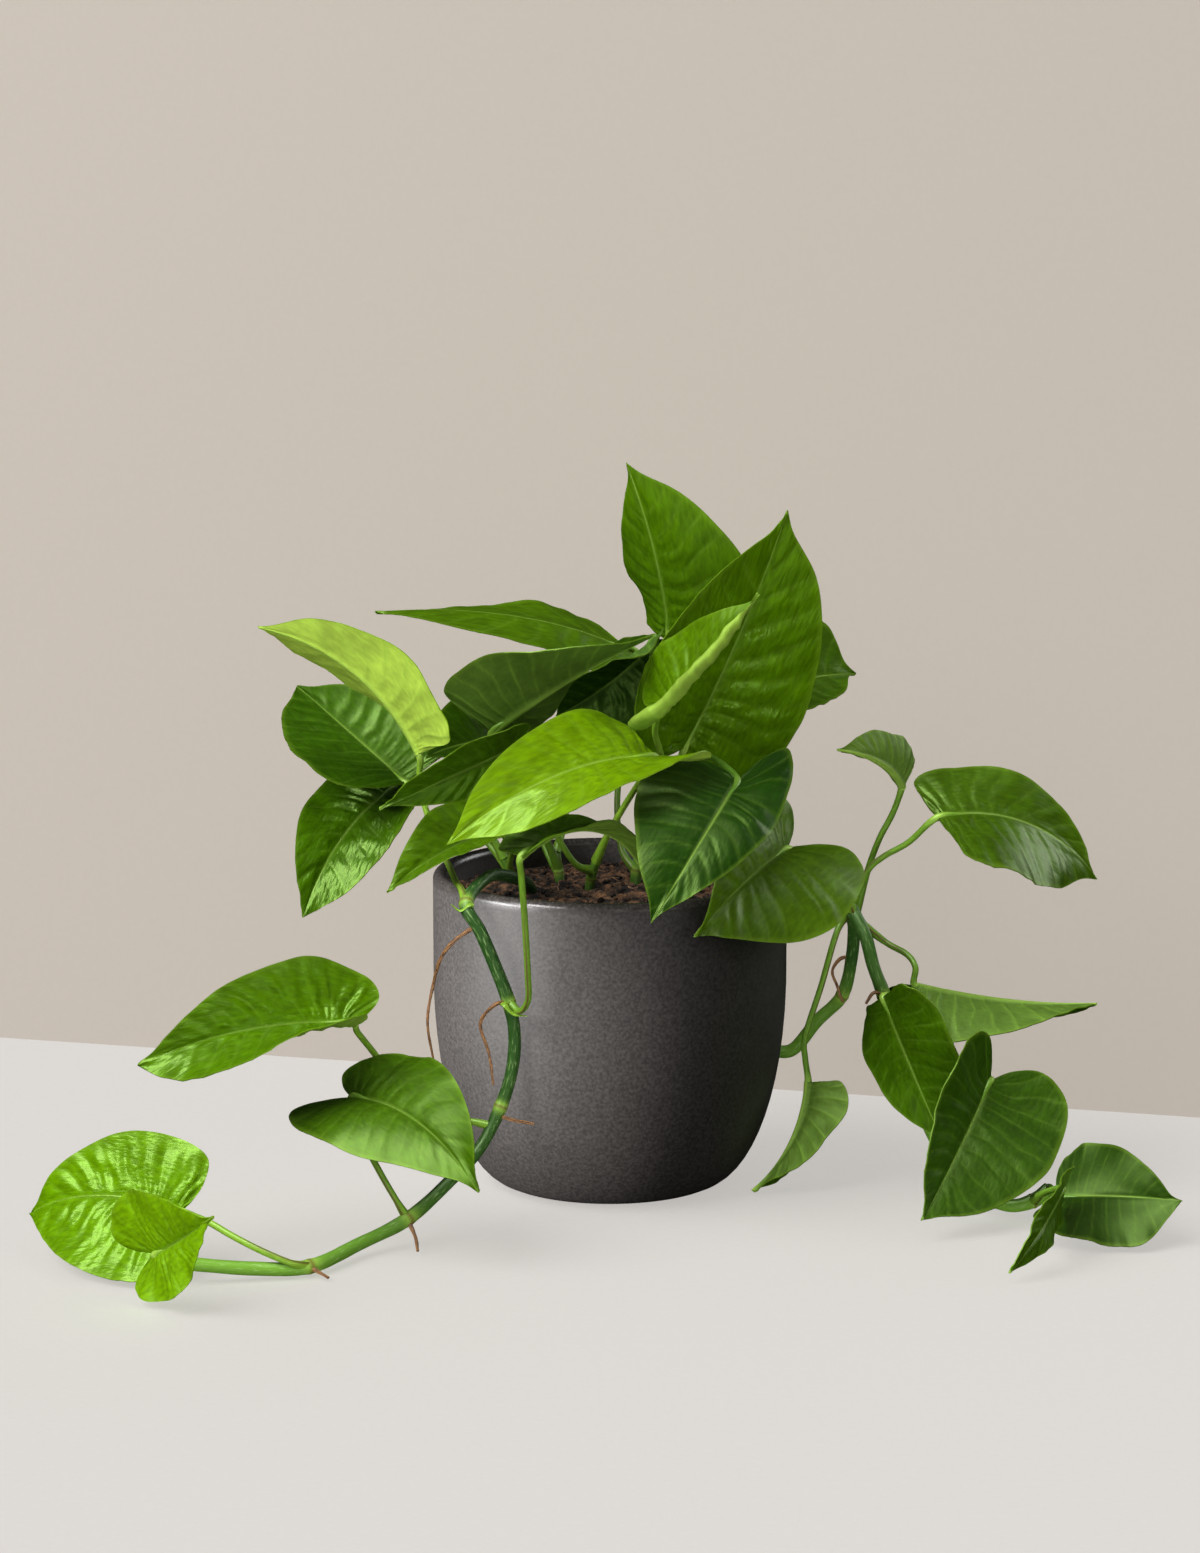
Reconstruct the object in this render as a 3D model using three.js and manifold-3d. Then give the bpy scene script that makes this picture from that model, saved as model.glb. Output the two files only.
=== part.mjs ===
// A potted jade pothos: a round stoneware pot, its soil, and a plant of four short shoots and two
// vines that trail over the rim to the surface. Millimetres, +Z up, +X to the right of the front
// view, -Y towards the front. The origin is the centre of the pot's foot.
import * as THREE from 'three';
import { mergeVertices } from 'three/addons/utils/BufferGeometryUtils.js';
import Module from 'manifold-3d';

const wasm = await Module();
wasm.setup();

// The pot, from which the soil follows
const POT_RADIUS = 65;
const POT_HEIGHT = 116;
const FOOT_RADIUS = 38;
const WALL = 5.5;
const FLOOR = 8;
const BELLY_TOP = 74;
const BELLY_PULL = 26;
const FOOT_PULL = 12;
const BELLY_LEAN = 1;
const POT_SIDES = 32;
const SOIL_LEVEL = 106.5;
const SOIL_MOUND = 2.2;
const SOIL_RINGS = 5;
const GAP = 0.3;
const HOLE_GAP = 0.4;
const CRUMBS = [
  { height: 0.9, across: 5.1, along: 4.3 },
  { height: 0.6, across: 2.7, along: 3.4 },
];

// The plant
const BLADE_THICKNESS = 0.8;
const BLADE_ROWS = 9;
const HALF_BLADE_COLUMNS = 3;
const MARGIN_WAVE = 1.1;
const MARGIN_WAVES = 2.2;
const STALK_RADIUS = 1.15;
const SHEATH_RADIUS = 1.9;
const KNEE_RADIUS = 1.4;
const KEEL_RADIUS = 0.6;
const KEEL_REACH = [0.15];
const STALK_SIDES = 5;
const STEM_SIDES = 7;
const STEM_RINGS = 2;
const NODE_SWELL = 0.12;
const ROOT_RADIUS = 0.8;
const ROOT_TAPER = 0.5;
const ROOT_SIDES = 4;
const ROOT_RINGS = 2;
const RING_START = new THREE.Vector3(0.31, 0.95, 0.02);

// Half a blade's outline, from the stalk's joint back round the lobe and forward to the tip:
// across as a share of the half width, along as a share of the length, and where on the midrib
// the side vein that ends there begins. Shares along below zero are times the half's lobe. From
// the shoulder on, the margin is drawn in by the half's taper, and at the drip point by the drip.
const OUTLINE = [
  [0, 0, 0],
  [0.2, -0.62, 0.004],
  [0.5, -1, 0.015],
  [0.82, -0.56, 0.05],
  [0.98, 0.1, 0.11],
  [0.98, 0.28, 0.2],
  [0.87, 0.46, 0.32],
  [0.68, 0.63, 0.47],
  [0.43, 0.79, 0.64],
  [0.18, 0.915, 0.82],
  [0, 1, 1],
];
const SHOULDER_POINT = 5;
const DRIP_POINT = 9;
const VEIN_SWEEP = 1.4;
const WAVE_PHASE = { perWidth: 0.7, perSide: 1.3 };
const MIDRIB_STEPS = 20;
const STEP = 0.01;

const STEMS = {
  left_vine: {
    radius: 2.3,
    path: [
      [-27, 3, 88], [-28, 0, 102], [-30, -9, 112], [-37, -23, 118], [-44, -38, 120.5], [-51, -57, 115],
      [-46, -62, 106], [-41, -62, 94], [-36, -61, 80], [-34, -60, 68], [-35, -60, 55], [-39, -61, 42],
      [-46, -67, 29], [-57, -78, 19], [-71, -92, 9.5], [-87, -106, 4.6], [-103, -129, 3.2],
      [-122, -134, 4], [-143, -138, 6.8],
    ],
    nodes: [5, 8, 11, 14, 16],
    roots: [
      [[-47, -61, 108], [-55, -64, 103], [-60, -62, 96], [-63, -57, 85], [-65, -57, 72], [-63, -55, 57]],
      [[-36, -61, 80], [-41, -65, 80], [-46, -64, 73], [-43, -64, 62], [-41.5, -65, 51]],
      [[-40, -62, 39], [-34, -65, 38], [-27, -66, 37]],
      [[-71, -92, 9.5], [-68, -99, 5], [-67, -104, 1.4]],
      [[-103, -129, 3.2], [-99, -133, 2.2], [-96, -136, 1.4]],
    ],
  },
  right_vine: {
    radius: 2.4,
    path: [
      [19, 24, 88], [20, 26, 102], [28, 33, 115], [41, 46, 122], [52, 58, 116], [53, 59, 98],
      [51, 57, 72], [53, 55, 50], [59, 53, 38], [69, 48, 36], [79, 43, 49], [88, 38, 60],
      [91, 31, 76], [91, 21, 90], [89, 11, 99], [94, 3, 91], [97, -1, 80], [101, -2, 69],
      [106, -4, 52], [112, -10, 34], [121, -27, 17], [131, -48, 8], [142, -60, 5.5], [151, -60, 7],
      [157, -58, 11],
    ],
    nodes: [8, 11, 14, 17, 20, 23],
    roots: [
      [[91, 31, 76], [87, 34, 75], [84, 35, 70], [86, 35, 64], [88, 34, 58]],
      [[101, -2, 69], [97, -6, 71], [94, -7, 67]],
    ],
  },
  back_shoot: {
    radius: 1.7,
    path: [[-18, 15, 88], [-18, 15, 102], [-19, 15, 112], [-20, 16, 119]],
    nodes: [2],
    roots: [],
  },
  left_shoot: {
    radius: 1.7,
    path: [[-34, 14, 88], [-35, 13, 102], [-37, 12, 112], [-39, 11, 118]],
    nodes: [2],
    roots: [],
  },
  centre_shoot: {
    radius: 2,
    path: [[9, 10, 88], [9, 10, 102], [10, 10, 114], [13, 8, 127], [17, 3, 141], [19, -5, 154]],
    nodes: [2, 3, 4],
    roots: [],
  },
  front_shoot: {
    radius: 1.7,
    path: [[-8, 4, 88], [-8, 4, 102], [-7, 3, 112], [-5, 0, 119]],
    nodes: [2],
    roots: [],
  },
};

// Each leaf: the stem it grows from and how many points along it, the places its stalk passes,
// the blade's joint and tip, the way its upper face looks, and its width. Then, left and right,
// how deep the lobes are and how the halves taper: below 1 is full, above 1 drawn in. Then the
// shares by which the drip tip is narrowed and by which the right half is the wider, and in
// degrees how far each half folds up, how the midrib arches and sways, how far the blade twists
// and how its margins roll down.
const LEAVES = {
  tall_leaf: {
    grows: ['centre_shoot', 3.4], stalk: [[20, 17, 155], [24, 27, 177]],
    base: [22, 27, 197.5], tip: [6, 15, 264.3], faces: [-0.5, -0.83, -0.25],
    width: 60, lobes: [0.03, 0.13], taper: [1.3, 1.1], drip: 0.2, lean: 0.24,
    fold: [-5, 0], arch: 18, sway: 30, twist: -33, camber: 32,
  },
  great_leaf: {
    grows: ['centre_shoot', 3.9], stalk: [[23, 5, 149]],
    base: [27, 3, 160], tip: [64, -5, 249], faces: [0.4, -0.9, -0.2],
    width: 76, lobes: [0.07, 0.11], taper: [1.2, 0.9], drip: 0.35, lean: 0.02,
    fold: [15, 14], arch: -12, sway: 17, twist: 23, camber: 11,
  },
  shaded_leaf: {
    grows: ['centre_shoot', 2.9], stalk: [[26, 20, 138], [40, 29, 159]],
    base: [50, 32, 174], tip: [93, 56, 180], faces: [0.3, -0.7, 0.65],
    width: 48, lobes: [0.12, 0.15], taper: [0.45, 1], drip: 0.65, lean: -0.16,
    fold: [19, 17], arch: 33, sway: -8, twist: -2, camber: -21,
  },
  young_leaf: {
    grows: ['centre_shoot', 5], stalk: [[18, -19, 163], [16, -28, 172]],
    base: [18, -35, 181], tip: [52, -55, 225], faces: [-0.8, -0.5, 0.35],
    width: 36, lobes: [0.15, 0.09], taper: [1.2, 1], drip: 0.4, lean: -0.06,
    fold: [7, 18], arch: 15, sway: 24, twist: -24, camber: -24,
  },
  long_leaf: {
    grows: ['back_shoot', 3], stalk: [[-17, 25, 129], [-13, 42, 147], [-2, 61, 171]],
    base: [11, 70, 185], tip: [-87, 29, 207], faces: [0.25, -0.15, 0.95],
    width: 66, lobes: [0.14, 0], taper: [0.9, 0.8], drip: 0.15, lean: 0.04,
    fold: [-11, -15], arch: 40, sway: -27, twist: -26, camber: -11,
  },
  rolled_leaf: {
    grows: ['back_shoot', 2.2], stalk: [[-24, 11, 126], [-31, 4, 143], [-39, -6, 157]],
    base: [-43, -15, 169], tip: [16, -30, 207], faces: [-0.45, 0.35, 0.85],
    width: 57, lobes: [0.07, 0.01], taper: [0.85, 1], drip: 0.25, lean: 0.04,
    fold: [13, 23], arch: 14, sway: 7, twist: -50, camber: -4,
  },
  dark_leaf: {
    grows: ['centre_shoot', 1.9], stalk: [[4, 15, 122], [3, 24, 142], [8, 35, 168]],
    base: [17, 29, 197], tip: [-20, 25, 169], faces: [0.55, -0.8, -0.3],
    width: 52, lobes: [0.12, 0.14], taper: [0.8, 0.75], drip: 0, lean: -0.02,
    fold: [22, 23], arch: 4, sway: -24, twist: -43, camber: -17,
  },
  pale_leaf: {
    grows: ['left_vine', 5],
    stalk: [
      [-53, -51, 119], [-55, -44, 120], [-58, -33, 124], [-63, -22, 132], [-68, -17, 146],
      [-69, -16, 154],
    ],
    base: [-69, -18, 162], tip: [-126, -24, 209], faces: [0.45, 0.65, 0.6],
    width: 50, lobes: [0, 0.03], taper: [1.05, 0.95], drip: 0.3, lean: 0.06,
    fold: [16, 18], arch: 53, sway: -17, twist: -38, camber: -5,
  },
  left_leaf: {
    grows: ['left_shoot', 3], stalk: [[-44, 12, 126], [-54, 10, 137], [-66, 9, 144]],
    base: [-75, 7, 147], tip: [-119, 66, 174], faces: [-0.1, -0.45, 0.9],
    width: 62, lobes: [0.04, 0], taper: [0.85, 1.05], drip: 0.2, lean: -0.08,
    fold: [22, 22], arch: -1, sway: 1, twist: 11, camber: 2,
  },
  glossy_leaf: {
    grows: ['left_shoot', 2.3], stalk: [[-44, 21, 120], [-56, 28, 133], [-71, 30, 140]],
    base: [-80, 32, 141], tip: [-112, -15, 101], faces: [0, -0.7, 0.75],
    width: 44, lobes: [0.13, 0.13], taper: [0.75, 0.95], drip: 0.15, lean: -0.06,
    fold: [13, 15], arch: 30, sway: 24, twist: 54, camber: -8,
  },
  hidden_leaf: {
    grows: ['back_shoot', 1.95], stalk: [[-24, 20, 120], [-33, 30, 140]],
    base: [-41, 35, 158], tip: [-67, -8, 159], faces: [0.5, -0.25, 0.85],
    width: 38, lobes: [0.13, 0.13], taper: [0.9, 0.85], drip: 0.4, lean: 0,
    fold: [21, 21], arch: 21, sway: 3, twist: -18, camber: -4,
  },
  mid_leaf: {
    grows: ['front_shoot', 2.4], stalk: [[-13, -3, 119], [-21, -8, 133], [-28, -16, 150]],
    base: [-32, -22, 166], tip: [-82, -48, 147], faces: [0.5, -0.85, -0.1],
    width: 24, lobes: [0.13, 0.06], taper: [1.3, 0.7], drip: 0.4, lean: -0.08,
    fold: [15, 22], arch: 17, sway: 10, twist: -10, camber: 12,
  },
  bright_leaf: {
    grows: ['front_shoot', 3], stalk: [[-1, -8, 130], [5, -20, 143], [11, -32, 155]],
    base: [16, -42, 165], tip: [-57, -84, 141], faces: [0.15, -0.65, 0.75],
    width: 49, lobes: [0.11, 0.01], taper: [0.95, 0.95], drip: 0.3, lean: -0.1,
    fold: [15, 11], arch: 55, sway: 11, twist: 55, camber: -18,
  },
  low_leaf: {
    grows: ['left_shoot', 1.9], stalk: [[-37, 5, 117], [-36, -4, 125]],
    base: [-40, -18, 133], tip: [-79, -58, 119], faces: [0.05, -0.4, 0.9],
    width: 36, lobes: [0.15, 0.14], taper: [1, 1.15], drip: 0.05, lean: -0.04,
    fold: [30, 29], arch: 36, sway: 1, twist: 1, camber: -7,
  },
  rim_leaf: {
    grows: ['left_vine', 8],
    stalk: [[-32, -66, 78], [-29, -70, 83], [-29, -72, 92], [-30, -75, 113], [-31, -80, 129]],
    base: [-31, -83, 137], tip: [12, -37, 122], faces: [0, 0.3, 0.95],
    width: 27, lobes: [0, 0.03], taper: [1, 0.8], drip: 0.25, lean: -0.06,
    fold: [30, 6], arch: 85, sway: 26, twist: -4, camber: 1,
  },
  heart_leaf: {
    grows: ['centre_shoot', 4.3], stalk: [[26, -10, 157], [35, -24, 162], [42, -38, 160]],
    base: [45, -47, 157], tip: [14, -100, 117], faces: [0.2, -0.65, 0.73],
    width: 50, lobes: [0.41, 0.08], taper: [1.2, 0.95], drip: 0.2, lean: 0.22,
    fold: [12, 11], arch: 35, sway: -4, twist: 16, camber: 33,
  },
  right_leaf: {
    grows: ['right_vine', 14.3], stalk: [[83, -1, 113], [73, -15, 122]],
    base: [64, -22, 128], tip: [29, -81, 108], faces: [0.7, -0.57, 0.44],
    width: 62, lobes: [0.29, 0.21], taper: [1.2, 1.05], drip: 0.05, lean: -0.08,
    fold: [31, 37], arch: 14, sway: 15, twist: 48, camber: 50,
  },
  small_right_leaf: {
    grows: ['right_vine', 13.2], stalk: [[96, 20, 112], [100, 18, 124], [105, 18, 134]],
    base: [108, 17, 144], tip: [82, -15, 163], faces: [-0.2, 0.6, 0.75],
    width: 27, lobes: [0, 0.02], taper: [1.05, 0.8], drip: 0.3, lean: -0.06,
    fold: [48, 39], arch: 9, sway: -40, twist: -30, camber: -45,
  },
  upper_right_leaf: {
    grows: ['right_vine', 13.9], stalk: [[95, 10, 113], [101, 9, 119], [110, 6, 125]],
    base: [120, 2, 135], tip: [182, 26, 107], faces: [0.5, -0.55, 0.65],
    width: 58, lobes: [0.02, 0], taper: [1.4, 0.75], drip: 0.35, lean: 0.18,
    fold: [12, 8], arch: 48, sway: -39, twist: -50, camber: 7,
  },
  thin_leaf: {
    grows: ['right_vine', 14.6], stalk: [[102, 2, 88], [109, -4, 85], [112, -8, 81]],
    base: [112, -9, 74], tip: [177, -24, 71], faces: [-0.05, 0.05, -1],
    width: 54, lobes: [0.01, 0.11], taper: [1.25, 0.85], drip: 0.1, lean: -0.02,
    fold: [8, 21], arch: 26, sway: 29, twist: -4, camber: -29,
  },
  tucked_leaf: {
    grows: ['right_vine', 17], stalk: [[104, -16, 72]],
    base: [99, -26, 74], tip: [121, -38, 22], faces: [-0.6, -0.8, -0.05],
    width: 49, lobes: [0, 0], taper: [0.75, 1.2], drip: 0.1, lean: -0.08,
    fold: [11, 6], arch: 13, sway: -6, twist: 55, camber: 19,
  },
  broad_leaf: {
    grows: ['right_vine', 20], stalk: [[130, -27, 29], [137, -32, 40]],
    base: [137, -42, 47], tip: [109, -89, 8], faces: [0.55, -0.7, 0.45],
    width: 59, lobes: [0.18, 0.15], taper: [0.85, 1.05], drip: 0.25, lean: -0.12,
    fold: [21, 22], arch: -9, sway: -10, twist: -9, camber: -11,
  },
  far_right_leaf: {
    grows: ['right_vine', 24], stalk: [[158, -66, 11]],
    base: [159, -73, 12], tip: [200, -92, 16], faces: [-0.3, -0.7, 0.6],
    width: 47, lobes: [0.07, 0.06], taper: [1.15, 0.4], drip: 0.45, lean: 0.1,
    fold: [12, 21], arch: 11, sway: -5, twist: -50, camber: -2,
  },
  right_tip_leaf: {
    grows: ['right_vine', 23], stalk: [[153, -72, 13], [157, -83, 18]],
    base: [158, -91, 20], tip: [135, -138, 3.5], faces: [0.9, -0.45, 0.1],
    width: 20, lobes: [0.12, 0.11], taper: [0.95, 0.75], drip: 0.15, lean: 0.02,
    fold: [8, 19], arch: 27, sway: 18, twist: -27, camber: 5,
  },
  hanging_leaf: {
    grows: ['right_vine', 13.6], stalk: [[84, 5, 92], [78, 1, 72], [72, -4, 54], [72, -6, 46]],
    base: [73, -9, 38], tip: [52, -27, 1.5], faces: [0.85, 0, -0.5],
    width: 33, lobes: [0.02, 0], taper: [1.05, 1.05], drip: 0.3, lean: 0.06,
    fold: [25, 20], arch: 50, sway: -2, twist: -30, camber: -26,
  },
  upper_left_leaf: {
    grows: ['left_vine', 11.5],
    stalk: [[-50, -62, 37], [-63, -58, 38], [-75, -57, 48], [-84, -62, 62], [-89, -70, 71]],
    base: [-91, -76, 76], tip: [-164, -97, 66], faces: [0.1, -0.7, 0.7],
    width: 51, lobes: [0, 0.14], taper: [0.5, 1.25], drip: 0.2, lean: -0.1,
    fold: [24, 25], arch: 20, sway: 20, twist: 55, camber: -33,
  },
  left_heart_leaf: {
    grows: ['left_vine', 14], stalk: [[-75, -91, 16], [-81, -86, 25], [-87, -82, 36]],
    base: [-91, -80, 50], tip: [-45, -128, 29], faces: [-0.27, -0.59, 0.76],
    width: 50, lobes: [0.17, 0.22], taper: [1, 1.15], drip: 0.2, lean: 0.06,
    fold: [29, 24], arch: 44, sway: -33, twist: -38, camber: 39,
  },
  round_leaf: {
    grows: ['left_vine', 16],
    stalk: [[-109, -134, 6], [-119, -133, 10], [-129, -129, 14], [-138, -125, 18]],
    base: [-147, -123, 21], tip: [-202, -98, 13], faces: [-0.4, -0.75, 0.5],
    width: 56, lobes: [0.12, 0.06], taper: [0.8, 1.1], drip: 0.15, lean: -0.14,
    fold: [16, 12], arch: 54, sway: 28, twist: 13, camber: 6,
  },
  cupped_leaf: {
    grows: ['left_vine', 18], stalk: [[-149, -146, 9], [-152, -155, 13]],
    base: [-152, -161, 17], tip: [-131, -179, 35], faces: [-0.6, -0.8, -0.05],
    width: 41, lobes: [0.33, 0.33], taper: [1.15, 1.15], drip: 0.5, lean: -0.14,
    fold: [27, 33], arch: 1, sway: 9, twist: -4, camber: 26,
  },
};

const vector = (place) => new THREE.Vector3(...place);
const radians = (degrees) => THREE.MathUtils.degToRad(degrees);

// A closed geometry as a solid that can be joined and cut
function solid(geometry) {
  const bare = geometry.clone();
  bare.deleteAttribute('normal');
  bare.deleteAttribute('uv');
  const whole = mergeVertices(bare, 1e-4);
  return new wasm.Manifold(new wasm.Mesh({
    numProp: 3,
    vertProperties: whole.attributes.position.array,
    triVerts: new Uint32Array(whole.index.array),
  }));
}

function geometryOf(body) {
  const mesh = body.getMesh();
  const geometry = new THREE.BufferGeometry();
  geometry.setAttribute('position', new THREE.BufferAttribute(mesh.vertProperties, 3));
  geometry.setIndex(new THREE.BufferAttribute(mesh.triVerts, 1));
  geometry.computeVertexNormals();
  return geometry;
}

const smooth = (places) => new THREE.CatmullRomCurve3(places.map(vector), false, 'catmullrom', 0.5);

// A round stem along a smooth curve: a cylinder whose rings are moved onto it, each with a radius.
// Rings are counted in control points, and each ring's start direction is carried from the last.
function tube(places, radiusAt, sides, ringsPerPoint) {
  const curve = smooth(places);
  const steps = (places.length - 1) * ringsPerPoint;
  const rings = [];
  let across = RING_START.clone();
  for (let ring = 0; ring <= steps; ring++) {
    const tangent = curve.getTangent(ring / steps);
    across = across.clone().projectOnPlane(tangent).normalize();
    rings.push({ place: curve.getPoint(ring / steps), across, other: tangent.cross(across) });
  }
  const geometry = new THREE.CylinderGeometry(1, 1, 1, sides, steps);
  const position = geometry.attributes.position;
  for (let i = 0; i < position.count; i++) {
    const ring = Math.round((position.getY(i) + 0.5) * steps);
    const radius = radiusAt(ring / ringsPerPoint);
    const place = rings[ring].place.clone()
      .addScaledVector(rings[ring].across, position.getX(i) * radius)
      .addScaledVector(rings[ring].other, -position.getZ(i) * radius);
    position.setXYZ(i, place.x, place.y, place.z);
  }
  return solid(geometry);
}

// A stem, a little thicker at each node where leaves and roots grow
function stemTube(stem, extra) {
  const radiusAt = (point) => {
    const swollen = stem.nodes.some((node) => Math.abs(node - point) < STEP);
    return stem.radius * (swollen ? 1 + NODE_SWELL : 1) + extra;
  };
  return tube(stem.path, radiusAt, STEM_SIDES, STEM_RINGS);
}

function rootTube(path) {
  const radiusAt = (point) => ROOT_RADIUS * (1 - ROOT_TAPER * point / path.length);
  return tube(path, radiusAt, ROOT_SIDES, ROOT_RINGS);
}

// The midrib from the joint to the tip: at each step its place, direction, side and normal
function midrib(leaf) {
  const joint = vector(leaf.base);
  const chord = vector(leaf.tip).sub(joint);
  const reach = chord.length();
  const along = chord.clone().normalize();
  const up = vector(leaf.faces).projectOnPlane(along).normalize();
  const right = along.clone().cross(up);
  const arch = radians(leaf.arch);
  const sway = radians(leaf.sway);
  const directions = [];
  const end = new THREE.Vector3();
  for (let k = 0; k <= MIDRIB_STEPS; k++) {
    const turn = 0.5 - k / MIDRIB_STEPS;
    const direction = along.clone().multiplyScalar(Math.cos(arch * turn) * Math.cos(sway * turn))
      .addScaledVector(right, Math.sin(sway * turn))
      .addScaledVector(up, Math.sin(arch * turn))
      .normalize();
    directions.push(direction);
    if (k > 0) end.add(direction.clone().add(directions[k - 1]).multiplyScalar(0.5));
  }
  const spread = reach / end.length();
  const place = joint.clone();
  return directions.map((direction, k) => {
    if (k > 0) place.addScaledVector(direction.clone().add(directions[k - 1]), 0.5 * spread);
    const side = direction.clone().cross(up).normalize();
    const normal = side.clone().cross(direction);
    const twist = radians(leaf.twist) * (k / MIDRIB_STEPS - 0.5);
    return {
      place: place.clone(),
      direction,
      side: side.clone().multiplyScalar(Math.cos(twist)).addScaledVector(normal, Math.sin(twist)),
      normal: normal.clone().multiplyScalar(Math.cos(twist)).addScaledVector(side, -Math.sin(twist)),
      length: spread * MIDRIB_STEPS,
    };
  });
}

// A point of the blade from flat places: across (-1 to 1) and along (shares of the length)
function bladePoint(leaf, ribs, across, along) {
  const step = THREE.MathUtils.clamp(along, 0, 1) * MIDRIB_STEPS;
  const k = Math.min(Math.floor(step), MIDRIB_STEPS - 1);
  const [from, to] = [ribs[k], ribs[k + 1]];
  const mix = step - k;
  const place = from.place.clone().lerp(to.place, mix);
  if (along < 0) place.addScaledVector(from.direction, along * from.length);
  const side = from.side.clone().lerp(to.side, mix).normalize();
  const normal = from.normal.clone().lerp(to.normal, mix).normalize();
  const half = Math.abs(across) * leaf.width / 2 * (1 + Math.sign(across) * leaf.lean);
  const fold = leaf.fold[across < 0 ? 0 : 1];
  const slope = radians(fold - leaf.camber * Math.abs(across) / 2);
  const phase = leaf.width * WAVE_PHASE.perWidth + Math.sign(across) * WAVE_PHASE.perSide;
  const wave = MARGIN_WAVE * across * across * Math.sin(2 * Math.PI * MARGIN_WAVES * along + phase);
  return place
    .addScaledVector(side, Math.sign(across) * half * Math.cos(slope))
    .addScaledVector(normal, half * Math.sin(slope) + wave);
}

// The outline of one half of a blade, 0 the left and 1 the right
function halfOutline(leaf, half) {
  return smooth(OUTLINE.map(([across, along, root], point) => {
    const drawn = point < SHOULDER_POINT ? across : across ** leaf.taper[half];
    const share = point === DRIP_POINT ? drawn * (1 - leaf.drip) : drawn;
    return [share, along < 0 ? along * leaf.lobes[half] : along, root];
  }));
}

// The blade: one grid of points for each face, alike on both, and a rim between them
function blade(leaf) {
  const ribs = midrib(leaf);
  const outlines = [halfOutline(leaf, 0), halfOutline(leaf, 1)];
  const sheet = (row, column) => {
    const { x: across, y: end, z: root } = outlines[column < 0 ? 0 : 1].getPoint(row / BLADE_ROWS);
    const out = column / HALF_BLADE_COLUMNS;
    return [across * out, root + (end - root) * Math.abs(out) ** VEIN_SWEEP];
  };
  const points = [];
  const numbers = new Map();
  const vertex = (row, column, face) => {
    const out = row === 0 || row === BLADE_ROWS ? 0 : column;
    const key = [row, out, face].join();
    if (!numbers.has(key)) {
      const [across, along] = sheet(row, out);
      const crosswise = bladePoint(leaf, ribs, across + STEP, along)
        .sub(bladePoint(leaf, ribs, across - STEP, along));
      const onward = bladePoint(leaf, ribs, across, along + STEP)
        .sub(bladePoint(leaf, ribs, across, along - STEP));
      const normal = crosswise.cross(onward).normalize();
      numbers.set(key, points.length / 3);
      bladePoint(leaf, ribs, across, along)
        .addScaledVector(normal, face * BLADE_THICKNESS / 2)
        .toArray(points, points.length);
    }
    return numbers.get(key);
  };
  const index = [];
  const triangle = (...corners) => {
    if (new Set(corners).size === 3) index.push(...corners);
  };
  for (let row = 0; row < BLADE_ROWS; row++) {
    for (let column = -HALF_BLADE_COLUMNS; column < HALF_BLADE_COLUMNS; column++) {
      for (const face of [1, -1]) {
        const corners = [[row, column], [row, column + 1], [row + 1, column + 1], [row + 1, column]]
          .map(([r, c]) => vertex(r, c, face));
        if (face < 0) corners.reverse();
        const [a, b, c, d] = corners;
        if ((column < 0) === (face > 0)) {
          triangle(a, b, d);
          triangle(b, c, d);
        } else {
          triangle(a, b, c);
          triangle(a, c, d);
        }
      }
    }
    for (const edge of [-HALF_BLADE_COLUMNS, HALF_BLADE_COLUMNS]) {
      const corners = [[row, 1], [row + 1, 1], [row + 1, -1], [row, -1]]
        .map(([r, face]) => vertex(r, edge, face));
      if (edge > 0) corners.reverse();
      const [a, b, c, d] = corners;
      triangle(a, b, c);
      triangle(a, c, d);
    }
  }
  const geometry = new THREE.BufferGeometry();
  geometry.setAttribute('position', new THREE.Float32BufferAttribute(points, 3));
  geometry.setIndex(index);
  return solid(geometry);
}

// The stalk: a sheath round the stem, a slender run, a knee where it joins the blade, and the
// start of the midrib's keel under the blade
function stalk(leaf) {
  const [name, point] = leaf.grows;
  const { path } = STEMS[name];
  const start = smooth(path).getPoint(point / (path.length - 1)).toArray();
  const ribs = midrib(leaf);
  const keel = KEEL_REACH.map((share) => {
    const rib = ribs[Math.round(share * MIDRIB_STEPS)];
    return rib.place.clone().addScaledVector(rib.normal, -BLADE_THICKNESS / 2).toArray();
  });
  const places = [start, ...leaf.stalk, leaf.base, ...keel];
  const knee = leaf.stalk.length + 1;
  const radiusAt = (at) => {
    if (at > knee) return KNEE_RADIUS - (KNEE_RADIUS - KEEL_RADIUS) * (at - knee) / keel.length;
    const sheath = Math.max(0, 1 - at);
    const swell = Math.max(0, 1 - (knee - at) * 2);
    return STALK_RADIUS + (SHEATH_RADIUS - STALK_RADIUS) * sheath + (KNEE_RADIUS - STALK_RADIUS) * swell;
  };
  return tube(places, radiusAt, STALK_SIDES, leaf.stalk.length > 1 ? 1 : 2);
}

// Blade and stalk in one, cut clear of the stem, without the crumbs of the sheath beyond it
function leafBody(leaf) {
  const whole = blade(leaf).add(stalk(leaf)).subtract(stemTube(STEMS[leaf.grows[0]], GAP));
  return whole.decompose().reduce((most, body) => (body.volume() > most.volume() ? body : most));
}

// The pot's side from its foot up to its widest line
function side(radius, foot, bottom) {
  const path = new THREE.Path();
  path.moveTo(foot, bottom);
  path.bezierCurveTo(
    foot + FOOT_PULL, bottom, radius - BELLY_LEAN, bottom + BELLY_PULL, radius, BELLY_TOP,
  );
  return path;
}

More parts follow.
